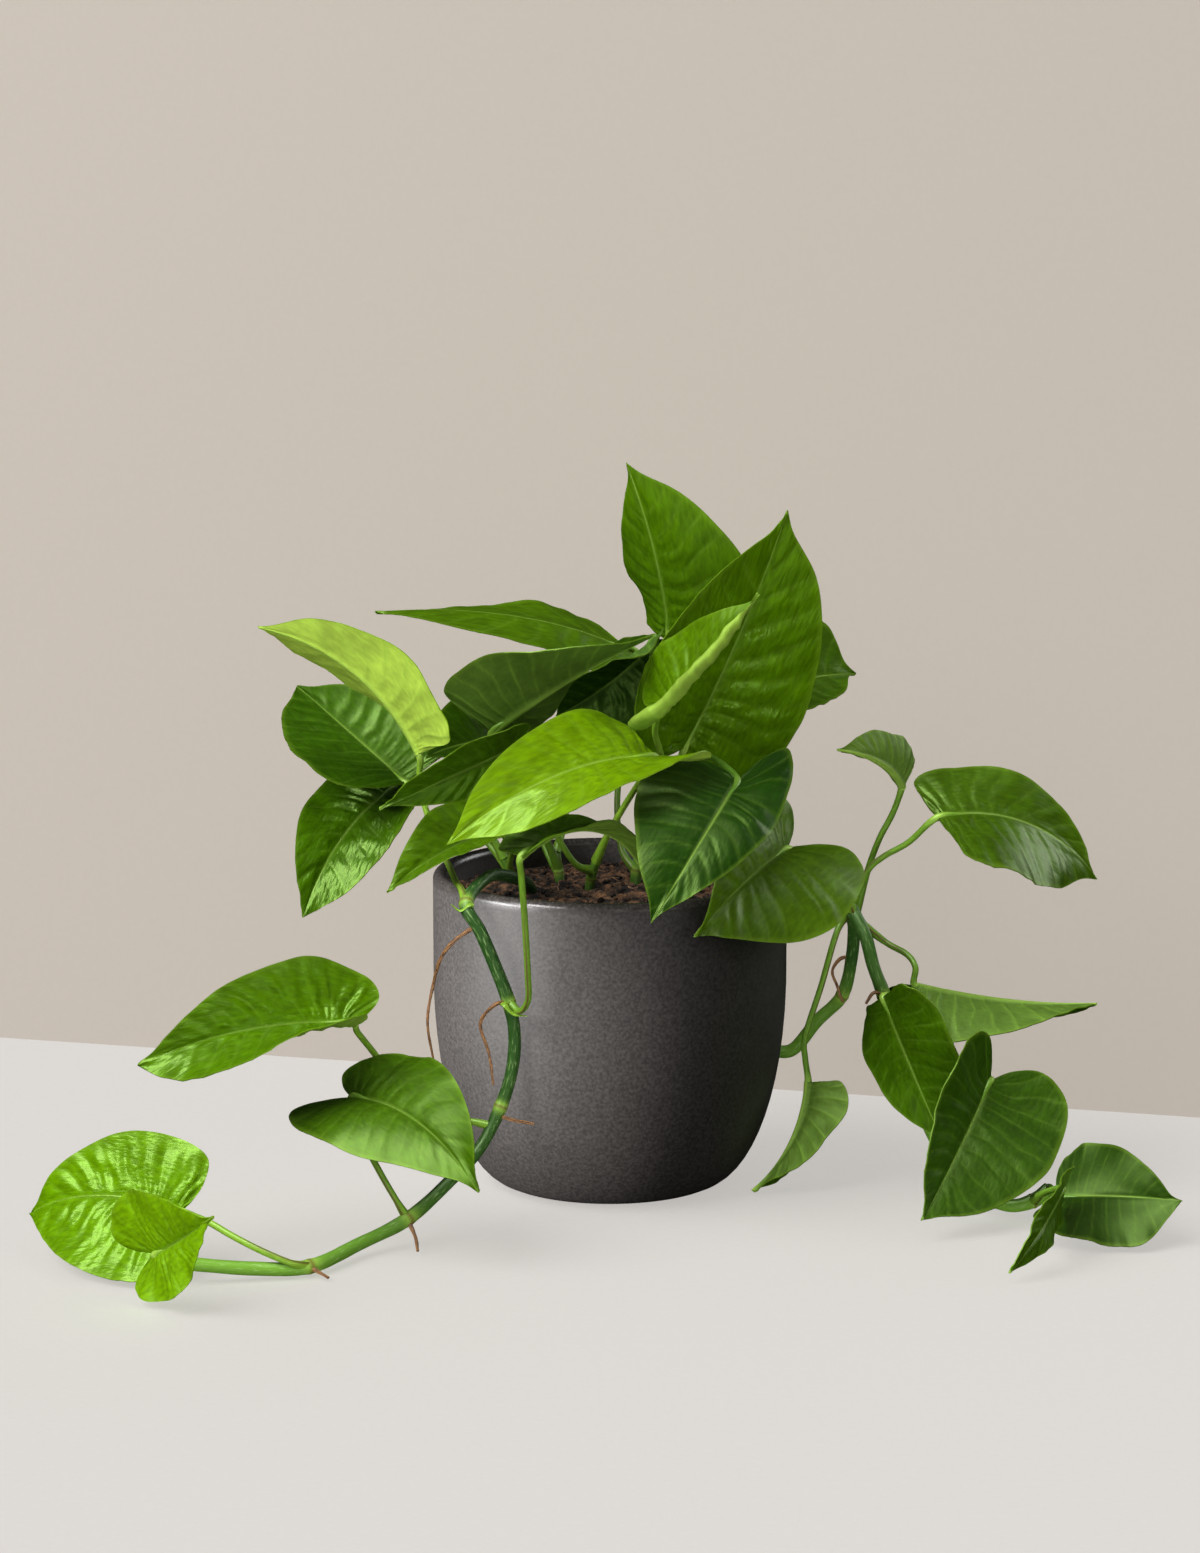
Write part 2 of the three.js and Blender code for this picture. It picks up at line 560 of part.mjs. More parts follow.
function potBody() {
  const lip = WALL / 2;
  const rim = new THREE.Path();
  rim.absarc(POT_RADIUS - lip, POT_HEIGHT - lip, lip, 0, Math.PI, false);
  const profile = [
    new THREE.Vector2(0, 0),
    ...side(POT_RADIUS, FOOT_RADIUS, 0).getPoints(7),
    ...rim.getPoints(3),
    ...side(POT_RADIUS - WALL, FOOT_RADIUS - WALL, FLOOR).getPoints(4).reverse(),
    new THREE.Vector2(0, FLOOR),
  ];
  return solid(new THREE.LatheGeometry(profile, POT_SIDES).rotateX(Math.PI / 2));
}

// Crumbs and hollows of the soil's surface at a place
function soilRelief(x, y) {
  const [coarse, fine] = CRUMBS;
  return coarse.height * Math.sin(x / coarse.across) * Math.cos(y / coarse.along)
    + fine.height * Math.sin(x / fine.across + y / fine.along);
}

// The soil fills the pot to a slightly mounded surface, clear of the wall
function soilBody() {
  const edge = POT_RADIUS - WALL - GAP;
  const profile = [
    new THREE.Vector2(0, FLOOR + GAP),
    ...side(edge, FOOT_RADIUS - WALL - 2 * GAP, FLOOR + GAP).getPoints(4),
    new THREE.Vector2(edge, SOIL_LEVEL),
  ];
  for (let ring = SOIL_RINGS - 1; ring >= 0; ring--) {
    const share = ring / SOIL_RINGS;
    profile.push(new THREE.Vector2(edge * share, SOIL_LEVEL + SOIL_MOUND * (1 - share * share)));
  }
  const geometry = new THREE.LatheGeometry(profile, POT_SIDES).rotateX(Math.PI / 2);
  const position = geometry.attributes.position;
  for (let i = 0; i < position.count; i++) {
    const [x, y, z] = [position.getX(i), position.getY(i), position.getZ(i)];
    if (z > SOIL_LEVEL + STEP) position.setZ(i, z + soilRelief(x, y));
  }
  return solid(geometry);
}

const MATERIALS = {
  pot: new THREE.MeshStandardMaterial({ color: 0x4b4847, roughness: 0.55, metalness: 0 }),
  soil: new THREE.MeshStandardMaterial({ color: 0x3a241a, roughness: 1, metalness: 0 }),
  stem: new THREE.MeshStandardMaterial({ color: 0x2c5a2e, roughness: 0.5, metalness: 0 }),
  leaf: new THREE.MeshStandardMaterial({ color: 0x2f7d12, roughness: 0.35, metalness: 0 }),
};

const plant = new THREE.Group();
const add = (name, body, slot) => {
  const mesh = new THREE.Mesh(geometryOf(body), MATERIALS[slot].clone());
  mesh.name = name;
  plant.add(mesh);
};

add('pot', potBody(), 'pot');

let soil = soilBody();
for (const [name, stem] of Object.entries(STEMS)) {
  soil = soil.subtract(stemTube(stem, HOLE_GAP));
  const whole = stem.roots.reduce((body, root) => body.add(rootTube(root)), stemTube(stem, 0));
  add(name, whole, 'stem');
}
add('soil', soil, 'soil');

for (const [name, leaf] of Object.entries(LEAVES)) add(name, leafBody(leaf), 'leaf');

export default plant;
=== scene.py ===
"""A potted jade pothos: the looks of its pot, soil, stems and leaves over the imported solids.

Every piece is modelled finer than the solid that it stands for, along the same curves. Lengths in
the tables are millimetres in the frame of the part, and each mesh is scaled to metres at its end.
"""

import math

import bpy
import numpy as np
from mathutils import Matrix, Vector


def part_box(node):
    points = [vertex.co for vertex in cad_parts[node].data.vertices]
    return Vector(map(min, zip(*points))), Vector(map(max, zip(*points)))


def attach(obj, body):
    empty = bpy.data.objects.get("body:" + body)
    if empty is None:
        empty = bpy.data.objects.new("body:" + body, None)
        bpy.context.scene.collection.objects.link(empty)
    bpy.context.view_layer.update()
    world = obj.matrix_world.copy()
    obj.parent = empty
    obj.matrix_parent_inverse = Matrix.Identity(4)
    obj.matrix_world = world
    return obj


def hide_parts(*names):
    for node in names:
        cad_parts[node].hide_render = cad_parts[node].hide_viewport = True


bl_info = {
    "name": "Potted pothos",
    "version": (1, 0, 0),
    "blender": (4, 5, 0),
    "location": "3D View > Sidebar > Pothos",
    "description": "Models a trailing pothos in a round stoneware pot",
    "category": "Object",
}

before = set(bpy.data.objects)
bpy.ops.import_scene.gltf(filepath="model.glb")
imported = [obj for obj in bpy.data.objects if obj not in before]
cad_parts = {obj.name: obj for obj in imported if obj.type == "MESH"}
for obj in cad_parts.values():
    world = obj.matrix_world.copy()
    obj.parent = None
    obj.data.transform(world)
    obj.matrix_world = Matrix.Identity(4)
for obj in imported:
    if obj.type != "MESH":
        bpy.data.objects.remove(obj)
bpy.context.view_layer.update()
MM = 0.001

# The stems: radius, the points that each follows, its nodes, and the aerial roots that leave it
STEMS = {
    "left_vine": {
        "radius": 2.3,
        "path": [
            (-27, 3, 88), (-28, 0, 102), (-30, -9, 112), (-37, -23, 118), (-44, -38, 120.5),
            (-51, -57, 115), (-46, -62, 106), (-41, -62, 94), (-36, -61, 80), (-34, -60, 68),
            (-35, -60, 55), (-39, -61, 42), (-46, -67, 29), (-57, -78, 19), (-71, -92, 9.5),
            (-87, -106, 4.6), (-103, -129, 3.2), (-122, -134, 4), (-143, -138, 6.8),
        ],
        "nodes": [5, 8, 11, 14, 16],
        "hooks": [
            [(-49, -60, 115), (-50.3, -61, 114.9), (-53.1, -61, 113.1), (-56.3, -61, 115.6)],
            [(-38, -63, 80), (-36.9, -66, 79.8), (-34.1, -66, 76.9), (-29.5, -66, 76.2)],
        ],
        "youth": [(0, 0), (13, 0.1), (15, 0.55), (18, 0.9)],
        "roots": [
            [(-47, -61, 108), (-55, -64, 103), (-60, -62, 96), (-63, -57, 85), (-65, -57, 72),
             (-63, -55, 57)],
            [(-36, -61, 80), (-41, -65, 80), (-46, -64, 73), (-43, -64, 62), (-41.5, -65, 51)],
            [(-40, -62, 39), (-34, -65, 38), (-27, -66, 37)],
            [(-71, -92, 9.5), (-68, -99, 5), (-67, -104, 1.4)],
            [(-103, -129, 3.2), (-99, -133, 2.2), (-96, -136, 1.4)],
        ],
    },
    "right_vine": {
        "radius": 2.4,
        "path": [
            (19, 24, 88), (20, 26, 102), (28, 33, 115), (41, 46, 122), (52, 58, 116),
            (53, 59, 98), (51, 57, 72), (53, 55, 50), (59, 53, 38), (69, 48, 36), (79, 43, 49),
            (88, 38, 60), (91, 31, 76), (91, 21, 90), (89, 11, 99), (94, 3, 91), (97, -1, 80),
            (101, -2, 69), (106, -4, 52), (112, -10, 34), (121, -27, 17), (131, -48, 8),
            (142, -60, 5.5), (151, -60, 7), (157, -58, 11),
        ],
        "nodes": [8, 11, 14, 17, 20, 23],
        "youth": [(0, 0), (8, 0.2), (9, 0.6), (11, 0.5), (12, 0.1), (16, 0.15), (20, 0.6), (24, 1)],
        "roots": [
            [(91, 31, 76), (87, 34, 75), (84, 35, 70), (86, 35, 64), (88, 34, 58)],
            [(101, -2, 69), (97, -6, 71), (94, -7, 67)],
        ],
    },
    "back_shoot": {
        "radius": 1.7,
        "path": [(-18, 15, 88), (-18, 15, 102), (-19, 15, 112), (-20, 16, 119)],
        "nodes": [2], "youth": [(0, 0.1), (3, 0.5)], "roots": [],
    },
    "left_shoot": {
        "radius": 1.7,
        "path": [(-34, 14, 88), (-35, 13, 102), (-37, 12, 112), (-39, 11, 118)],
        "nodes": [2], "youth": [(0, 0.1), (3, 0.5)], "roots": [],
    },
    "centre_shoot": {
        "radius": 2,
        "path": [
            (9, 10, 88), (9, 10, 102), (10, 10, 114), (13, 8, 127), (17, 3, 141), (19, -5, 154),
        ],
        "nodes": [2, 3, 4], "youth": [(0, 0.1), (5, 0.7)], "roots": [],
    },
    "front_shoot": {
        "radius": 1.7,
        "path": [(-8, 4, 88), (-8, 4, 102), (-7, 3, 112), (-5, 0, 119)],
        "nodes": [2], "youth": [(0, 0.1), (3, 0.5)], "roots": [],
    },
}

# The leaves, five lines to each:
# - the stem and the point on it that it grows from, and the places its stalk passes
# - the blade's joint and tip, and the way its upper face looks
# - its width, and left and right how deep the lobes are and how the halves taper, then the shares
#   by which the drip tip is narrowed and by which the right half is the wider
# - in degrees, the left and right fold, then the arch, the sway, the twist and the camber
# - its age from lime to dark, how high the quilting between the veins stands and how warm the
#   green is. A few also have the thickness left and right of a margin still rolled up, and where
#   round the stalk its sheath's dry edge runs, in turns, and how far up it
LEAF_FIELDS = (
    "grows", "stalk", "base", "tip", "faces", "width", "lobes", "taper", "drip", "lean", "fold",
    "arch", "sway", "twist", "camber", "age", "quilt", "warm", "rolled", "scar",
)
LEAF_ROWS = {
    "tall_leaf": (
        ("centre_shoot", 3.4), [(20, 17, 155), (24, 27, 177)],
        (22, 27, 197.5), (6, 15, 264.3), (-0.5, -0.83, -0.25),
        60, (0.03, 0.13), (1.3, 1.1), 0.2, 0.24,
        (-5, 0), 18, 30, -33, 32,
        0.42, 0.5, 0.4),
    "great_leaf": (
        ("centre_shoot", 3.9), [(23, 5, 149)],
        (27, 3, 160), (64, -5, 249), (0.4, -0.9, -0.2),
        76, (0.07, 0.11), (1.2, 0.9), 0.35, 0.02,
        (15, 14), -12, 17, 23, 11,
        0.38, 1.1, 0.4),
    "shaded_leaf": (
        ("centre_shoot", 2.9), [(26, 20, 138), (40, 29, 159)],
        (50, 32, 174), (93, 56, 180), (0.3, -0.7, 0.65),
        48, (0.12, 0.15), (0.45, 1), 0.65, -0.16,
        (19, 17), 33, -8, -2, -21,
        0.6, 0.4, 0.6),
    "young_leaf": (
        ("centre_shoot", 5), [(18, -19, 163), (16, -28, 172)],
        (18, -35, 181), (52, -55, 225), (-0.8, -0.5, 0.35),
        36, (0.15, 0.09), (1.2, 1), 0.4, -0.06,
        (7, 18), 15, 24, -24, -24,
        0.3, 0.45, 0.5, (0, 2.6)),
    "long_leaf": (
        ("back_shoot", 3), [(-17, 25, 129), (-13, 42, 147), (-2, 61, 171)],
        (11, 70, 185), (-87, 29, 207), (0.25, -0.15, 0.95),
        66, (0.14, 0), (0.9, 0.8), 0.15, 0.04,
        (-11, -15), 40, -27, -26, -11,
        0.45, 0.4, 0.6),
    "rolled_leaf": (
        ("back_shoot", 2.2), [(-24, 11, 126), (-31, 4, 143), (-39, -6, 157)],
        (-43, -15, 169), (16, -30, 207), (-0.45, 0.35, 0.85),
        57, (0.07, 0.01), (0.85, 1), 0.25, 0.04,
        (13, 23), 14, 7, -50, -4,
        0.75, 0.4, 0.6),
    "dark_leaf": (
        ("centre_shoot", 1.9), [(4, 15, 122), (3, 24, 142), (8, 35, 168)],
        (17, 29, 197), (-20, 25, 169), (0.55, -0.8, -0.3),
        52, (0.12, 0.14), (0.8, 0.75), 0, -0.02,
        (22, 23), 4, -24, -43, -17,
        0.95, 0.4, 0.2),
    "pale_leaf": (
        ("left_vine", 5), [(-53, -51, 119), (-55, -44, 120), (-58, -33, 124), (-63, -22, 132),
         (-68, -17, 146), (-69, -16, 154)],
        (-69, -18, 162), (-126, -24, 209), (0.45, 0.65, 0.6),
        50, (0, 0.03), (1.05, 0.95), 0.3, 0.06,
        (16, 18), 53, -17, -38, -5,
        0.0, 0.5, 0.7),
    "left_leaf": (
        ("left_shoot", 3), [(-44, 12, 126), (-54, 10, 137), (-66, 9, 144)],
        (-75, 7, 147), (-119, 66, 174), (-0.1, -0.45, 0.9),
        62, (0.04, 0), (0.85, 1.05), 0.2, -0.08,
        (22, 22), -1, 1, 11, 2,
        0.65, 0.45, 0.1),
    "glossy_leaf": (
        ("left_shoot", 2.3), [(-44, 21, 120), (-56, 28, 133), (-71, 30, 140)],
        (-80, 32, 141), (-112, -15, 101), (0, -0.7, 0.75),
        44, (0.13, 0.13), (0.75, 0.95), 0.15, -0.06,
        (13, 15), 30, 24, 54, -8,
        0.5, 0.9, 0.1),
    "hidden_leaf": (
        ("back_shoot", 1.95), [(-24, 20, 120), (-33, 30, 140)],
        (-41, 35, 158), (-67, -8, 159), (0.5, -0.25, 0.85),
        38, (0.13, 0.13), (0.9, 0.85), 0.4, 0,
        (21, 21), 21, 3, -18, -4,
        0.7, 0.4, 0.3),
    "mid_leaf": (
        ("front_shoot", 2.4), [(-13, -3, 119), (-21, -8, 133), (-28, -16, 150)],
        (-32, -22, 166), (-82, -48, 147), (0.5, -0.85, -0.1),
        24, (0.13, 0.06), (1.3, 0.7), 0.4, -0.08,
        (15, 22), 17, 10, -10, 12,
        0.55, 0.45, 0.3),
    "bright_leaf": (
        ("front_shoot", 3), [(-1, -8, 130), (5, -20, 143), (11, -32, 155)],
        (16, -42, 165), (-57, -84, 141), (0.15, -0.65, 0.75),
        49, (0.11, 0.01), (0.95, 0.95), 0.3, -0.1,
        (15, 11), 55, 11, 55, -18,
        0.12, 0.65, 0.9),
    "low_leaf": (
        ("left_shoot", 1.9), [(-37, 5, 117), (-36, -4, 125)],
        (-40, -18, 133), (-79, -58, 119), (0.05, -0.4, 0.9),
        36, (0.15, 0.14), (1, 1.15), 0.05, -0.04,
        (30, 29), 36, 1, 1, -7,
        0.4, 0.5, 0.5),
    "rim_leaf": (
        ("left_vine", 8), [(-32, -66, 78), (-29, -70, 83), (-29, -72, 92), (-30, -75, 113),
         (-31, -80, 129)],
        (-31, -83, 137), (12, -37, 122), (0, 0.3, 0.95),
        27, (0, 0.03), (1, 0.8), 0.25, -0.06,
        (30, 6), 85, 26, -4, 1,
        0.6, 0.35, 0.4, (0, 0), (9 / 14, 0.8)),
    "heart_leaf": (
        ("centre_shoot", 4.3), [(26, -10, 157), (35, -24, 162), (42, -38, 160)],
        (45, -47, 157), (14, -100, 117), (0.2, -0.65, 0.73),
        50, (0.41, 0.08), (1.2, 0.95), 0.2, 0.22,
        (12, 11), 35, -4, 16, 33,
        1.0, 0.35, 0.2),
    "right_leaf": (
        ("right_vine", 14.3), [(83, -1, 113), (73, -15, 122)],
        (64, -22, 128), (29, -81, 108), (0.7, -0.57, 0.44),
        62, (0.29, 0.21), (1.2, 1.05), 0.05, -0.08,
        (31, 37), 14, 15, 48, 50,
        0.5, 0.35, 0.8),
    "small_right_leaf": (
        ("right_vine", 13.2), [(96, 20, 112), (100, 18, 124), (105, 18, 134)],
        (108, 17, 144), (82, -15, 163), (-0.2, 0.6, 0.75),
        27, (0, 0.02), (1.05, 0.8), 0.3, -0.06,
        (48, 39), 9, -40, -30, -45,
        0.7, 0.4, 0.8),
    "upper_right_leaf": (
        ("right_vine", 13.9), [(95, 10, 113), (101, 9, 119), (110, 6, 125)],
        (120, 2, 135), (182, 26, 107), (0.5, -0.55, 0.65),
        58, (0.02, 0), (1.4, 0.75), 0.35, 0.18,
        (12, 8), 48, -39, -50, 7,
        0.6, 0.5, 0.8),
    "thin_leaf": (
        ("right_vine", 14.6), [(102, 2, 88), (109, -4, 85), (112, -8, 81)],
        (112, -9, 74), (177, -24, 71), (-0.05, 0.05, -1),
        54, (0.01, 0.11), (1.25, 0.85), 0.1, -0.02,
        (8, 21), 26, 29, -4, -29,
        0.75, 0.5, 0.6),
    "tucked_leaf": (
        ("right_vine", 17), [(104, -16, 72)],
        (99, -26, 74), (121, -38, 22), (-0.6, -0.8, -0.05),
        49, (0, 0), (0.75, 1.2), 0.1, -0.08,
        (11, 6), 13, -6, 55, 19,
        0.55, 0.35, 0.3),
    "broad_leaf": (
        ("right_vine", 20), [(130, -27, 29), (137, -32, 40)],
        (137, -42, 47), (109, -89, 8), (0.55, -0.7, 0.45),
        59, (0.18, 0.15), (0.85, 1.05), 0.25, -0.12,
        (21, 22), -9, -10, -9, -11,
        0.75, 0.3, 0.5),
    "far_right_leaf": (
        ("right_vine", 24), [(158, -66, 11)],
        (159, -73, 12), (200, -92, 16), (-0.3, -0.7, 0.6),
        47, (0.07, 0.06), (1.15, 0.4), 0.45, 0.1,
        (12, 21), 11, -5, -50, -2,
        0.9, 0.0, 1.0),
    "right_tip_leaf": (
        ("right_vine", 23), [(153, -72, 13), (157, -83, 18)],
        (158, -91, 20), (135, -138, 3.5), (0.9, -0.45, 0.1),
        20, (0.12, 0.11), (0.95, 0.75), 0.15, 0.02,
        (8, 19), 27, 18, -27, 5,
        0.6, 0.3, 0.6),
    "hanging_leaf": (
        ("right_vine", 13.6), [(84, 5, 92), (78, 1, 72), (72, -4, 54), (72, -6, 46)],
        (73, -9, 38), (52, -27, 1.5), (0.85, 0, -0.5),
        33, (0.02, 0), (1.05, 1.05), 0.3, 0.06,
        (25, 20), 50, -2, -30, -26,
        0.75, 0.4, 0.6),
    "upper_left_leaf": (
        ("left_vine", 11.5), [(-50, -62, 37), (-63, -58, 38), (-75, -57, 48), (-84, -62, 62),
         (-89, -70, 71)],
        (-91, -76, 76), (-164, -97, 66), (0.1, -0.7, 0.7),
        51, (0, 0.14), (0.5, 1.25), 0.2, -0.1,
        (24, 25), 20, 20, 55, -33,
        0.35, 0.85, 0.3),
    "left_heart_leaf": (
        ("left_vine", 14), [(-75, -91, 16), (-81, -86, 25), (-87, -82, 36)],
        (-91, -80, 50), (-45, -128, 29), (-0.27, -0.59, 0.76),
        50, (0.17, 0.22), (1, 1.15), 0.2, 0.06,
        (29, 24), 44, -33, -38, 39,
        0.55, 0.3, 0.4),
    "round_leaf": (
        ("left_vine", 16), [(-109, -134, 6), (-119, -133, 10), (-129, -129, 14), (-138, -125, 18)],
        (-147, -123, 21), (-202, -98, 13), (-0.4, -0.75, 0.5),
        56, (0.12, 0.06), (0.8, 1.1), 0.15, -0.14,
        (16, 12), 54, 28, 13, 6,
        0.15, 0.85, 0.3),
    "cupped_leaf": (
        ("left_vine", 18), [(-149, -146, 9), (-152, -155, 13)],
        (-152, -161, 17), (-131, -179, 35), (-0.6, -0.8, -0.05),
        41, (0.33, 0.33), (1.15, 1.15), 0.5, -0.14,
        (27, 33), 1, 9, -4, 26,
        0.0, 0.4, 0.5),
}
LEAVES = {name: dict(zip(LEAF_FIELDS, row)) for name, row in LEAF_ROWS.items()}

# Half a blade's outline from the stalk's joint round the lobe to the tip: across as a share of
# the half width, along as a share of the length, and where on the midrib its side vein begins
OUTLINE = [
    (0, 0, 0), (0.2, -0.62, 0.004), (0.5, -1, 0.015), (0.82, -0.56, 0.05), (0.98, 0.1, 0.11),
    (0.98, 0.28, 0.2), (0.87, 0.46, 0.32), (0.68, 0.63, 0.47), (0.43, 0.79, 0.64),
    (0.18, 0.915, 0.82), (0, 1, 1),
]
SHOULDER_POINT = 5
DRIP_POINT = 9
VEIN_SWEEP = 1.4
MARGIN_WAVE = 1.1
MARGIN_WAVES = 2.2
MIDRIB_STEPS = 20
# How fast the side veins and the mesh's columns crowd towards the joint and the midrib
VEIN_CROWDING = 0.6
COLUMN_CROWDING = 1.3
# The blade's relief in millimetres: the groove over the midrib and the keel and veins under it,
# the soft rolling of the whole blade and the ripple of its margin, then how much the margin thins
GROOVE_DEPTH = 0.3
GROOVE_WIDTH = 0.9
KEEL_HEIGHT = 0.9
VEIN_HEIGHT = 0.18
ROLLING_HEIGHT = 0.8
RIPPLE_HEIGHT = 0.35
MARGIN_THINNING = 0.5
# How fast the green darkens with age
DARKENING = 1.7
# A rolled margin: where on the half it begins, and how far it turns, in degrees
ROLL_START = 0.55
ROLL_TURN = 215
# Radii in millimetres, and how much a stem swells at a node
NODE_SWELL = 0.12
STALK_RADIUS = 1.15
SHEATH_RADIUS = 1.9
KNEE_RADIUS = 1.4
KEEL_RADIUS = 0.6
ROOT_RADIUS = 0.8
HOOK_RADIUS = 1.1
# Where on the midrib the stalk ends, and the sheath's dry edge: its share of the stalk's length,
# its width in turns and its rise as a share of the radius
KEEL_REACH = 0.15
SHEATH_SHARE = 0.62
WING_WIDTH = 0.05
WING_RISE = 0.28
# The pot's profile and the soil's lumps: how wide and how high, in millimetres
BELLY_TOP = 74
BELLY_PULL = 26
BELLY_LEAN = 1
TOP_PULL = 8
RIM_PULL = 12
FOOT_PULL = 12
FOOT_RADIUS = 38
FOOT_BEVEL = 3
POT_FLOOR = 8
CIRCLE_HANDLE = 0.5523
SOIL_GAP = 0.3
SOIL_MOUND = 2.2
SOIL_LUMPS = ((2.6, 0.5), (1.5, 0.3), (0.9, 0.22))
CRUMB_LEAST = 0.35
CRUMB_SPREAD = 1.1
# How fine the meshes are: sides and rings per point of a tube, columns and rows of a grid
STEM_MESH = (18, 14)
STALK_MESH = (14, 10)
ROOT_MESH = (8, 10)
HOOK_MESH = (8, 6)
FIBRE_MESH = (5, 4)
BLADE_MESH = (36, 140)
SOIL_GRID = 150
POT_STEPS = 144
RIM_STEPS = 14
SMOOTH_BELOW = 60
# How close points are merged, in millimetres, and how many waves a smooth wander adds up
MERGE = 0.0005
WAVER_WAVES = 4
# The tint of the wax's sheen on stems and on blades
STEM_SHINE = (0.7, 1.0, 0.5, 1)
LEAF_SHINE = (0.62, 1.0, 0.24, 1)

# The photograph's camera: its place, its tilt below level, and its lens on a 36 mm high frame
CAMERA_PLACE = (-3.67, -1513.38, 414.73)
CAMERA_TILT = 9.9
CAMERA_LENS = 97.36
CAMERA_FRAME = 36
PICTURE = (1200, 1553)
FLOOR_EDGE = ((0, 1037), (1199, 1117))
# The stage, in metres. Its lights: name, kind, place, size in metres or a sun's in degrees,
# power, what it lights and what shades it. The greens have a softbox at the upper left, one
# above, a weak one at the right, the light that a table throws back up, and two that only put a
# sheen on their wax. A rim light shines on all from behind at the right. The pot has a low one
# at its left, one with the greens' key and a weak one. The room has its own even light.
STAGE_REACH = 4
FLOOR_LEVEL = -0.0002
SKY_STRENGTH = 0.18
LIGHTS_FACE = (0, 0, 0.1)
LIGHTS = (
    ("key_light", "AREA", (-1.8, -1.4, 2.0), 1.5, 116, "greens", "greens"),
    ("top_light", "AREA", (-0.2, -0.8, 2.6), 1.3, 50, "greens", "greens"),
    ("fill_light", "AREA", (1.9, -1.6, 0.9), 1.5, 24, "greens", "greens"),
    ("bounce_light", "AREA", (-0.2, -1.7, -0.6), 1.4, 22, "greens", "greens"),
    ("upper_sheen", "AREA", (-0.7, -0.8, 2.4), 1.4, 60, "greens", "room"),
    ("lower_sheen", "AREA", (1.0, -1.5, -0.35), 0.9, 50, "greens", "room"),
    ("rim_light", "AREA", (2.2, 1.3, 1.2), 1.2, 22, "plant", "plant"),
    ("pot_light", "AREA", (-2.8, -1.1, 0.35), 1.3, 205, "pot", "pot"),
    ("pot_key", "AREA", (-1.8, -1.4, 2.0), 1.0, 105, "pot", "all"),
    ("pot_fill", "AREA", (1.2, -3.0, 1.2), 1.6, 16, "pot", "all"),
    ("wall_light", "AREA", (-2.2, -0.8, 1.6), 1.0, 33, "wall", "wall"),
    ("room_light", "SUN", (-0.5, -2.0, 2.2), 40, 2.93, "room", "room"),
    ("room_shade", "SUN", (-1.9, -0.9, 2.2), 50, 0.85, "room", "all"),
)


def linear(colour):
    """An sRGB hex value as the linear colour that shaders take."""
    parts = [int(colour[i : i + 2], 16) / 255 for i in (1, 3, 5)]
    return tuple(c / 12.92 if c <= 0.04045 else ((c + 0.055) / 1.055) ** 2.4 for c in parts)


class PothosSizes(bpy.types.PropertyGroup):
    """The sizes that a user would change."""

    pot_radius: bpy.props.FloatProperty(
        name="Pot radius", description="Widest radius of the pot",
        default=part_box("pot")[1].x, unit="LENGTH")
    pot_height: bpy.props.FloatProperty(
        name="Pot height", description="From the foot to the top of the rim",
        default=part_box("pot")[1].z, unit="LENGTH")
    pot_wall: bpy.props.FloatProperty(
        name="Pot wall", description="Thickness of the pot's wall", default=0.0055, unit="LENGTH")
    soil_level: bpy.props.FloatProperty(
        name="Soil level", description="Height of the soil at the wall",
        default=0.1065, unit="LENGTH")
    crumbs: bpy.props.IntProperty(
        name="Crumbs", description="Loose crumbs that lie on the soil", default=1500, min=0)
    fibres: bpy.props.IntProperty(
        name="Fibres", description="Loose fibres that lie on the soil", default=70, min=0)
    blade_thickness: bpy.props.FloatProperty(
        name="Blade thickness", description="Thickness of a leaf at its midrib",
        default=0.0008, unit="LENGTH")
    side_veins: bpy.props.IntProperty(
        name="Side veins", description="Side veins on each half of a leaf", default=12, min=4)


class PothosColours(bpy.types.PropertyGroup):
    """The colours that a user would change."""

    glaze: bpy.props.FloatVectorProperty(
        name="Glaze", description="Ground colour of the pot's glaze",
        default=linear("#3b3735"), subtype="COLOR", min=0, max=1)
    leaf_young: bpy.props.FloatVectorProperty(
        name="Young leaf", description="Lime of a new leaf",
        default=linear("#5c8e00"), subtype="COLOR", min=0, max=1)
    leaf_grown: bpy.props.FloatVectorProperty(
        name="Grown leaf", description="Deep green of an old leaf",
        default=linear("#0e2e00"), subtype="COLOR", min=0, max=1)
    stem: bpy.props.FloatVectorProperty(
        name="Stem", description="Green of a grown stem",
        default=linear("#193a18"), subtype="COLOR", min=0, max=1)
    soil: bpy.props.FloatVectorProperty(
        name="Soil", description="Ground colour of the potting mix",
        default=linear("#3c2a1b"), subtype="COLOR", min=0, max=1)


def add_node(tree, kind, settings=None, inputs=None):
    """Adds a node with its settings, and gives each input a value or a link."""
    made = tree.nodes.new(kind)
    for name, value in (settings or {}).items():
        setattr(made, name, value)
    for name, value in (inputs or {}).items():
        if isinstance(value, bpy.types.NodeSocket):
            tree.links.new(value, made.inputs[name])
        else:
            made.inputs[name].default_value = value
    return made


def new_material(name):
    """An empty material and its node tree."""
    made = bpy.data.materials.new(name)
    made.use_nodes = True
    made.node_tree.nodes.clear()
    return made, made.node_tree


def opaque(colour):
    """A colour with full alpha."""
    return (*colour, 1.0)


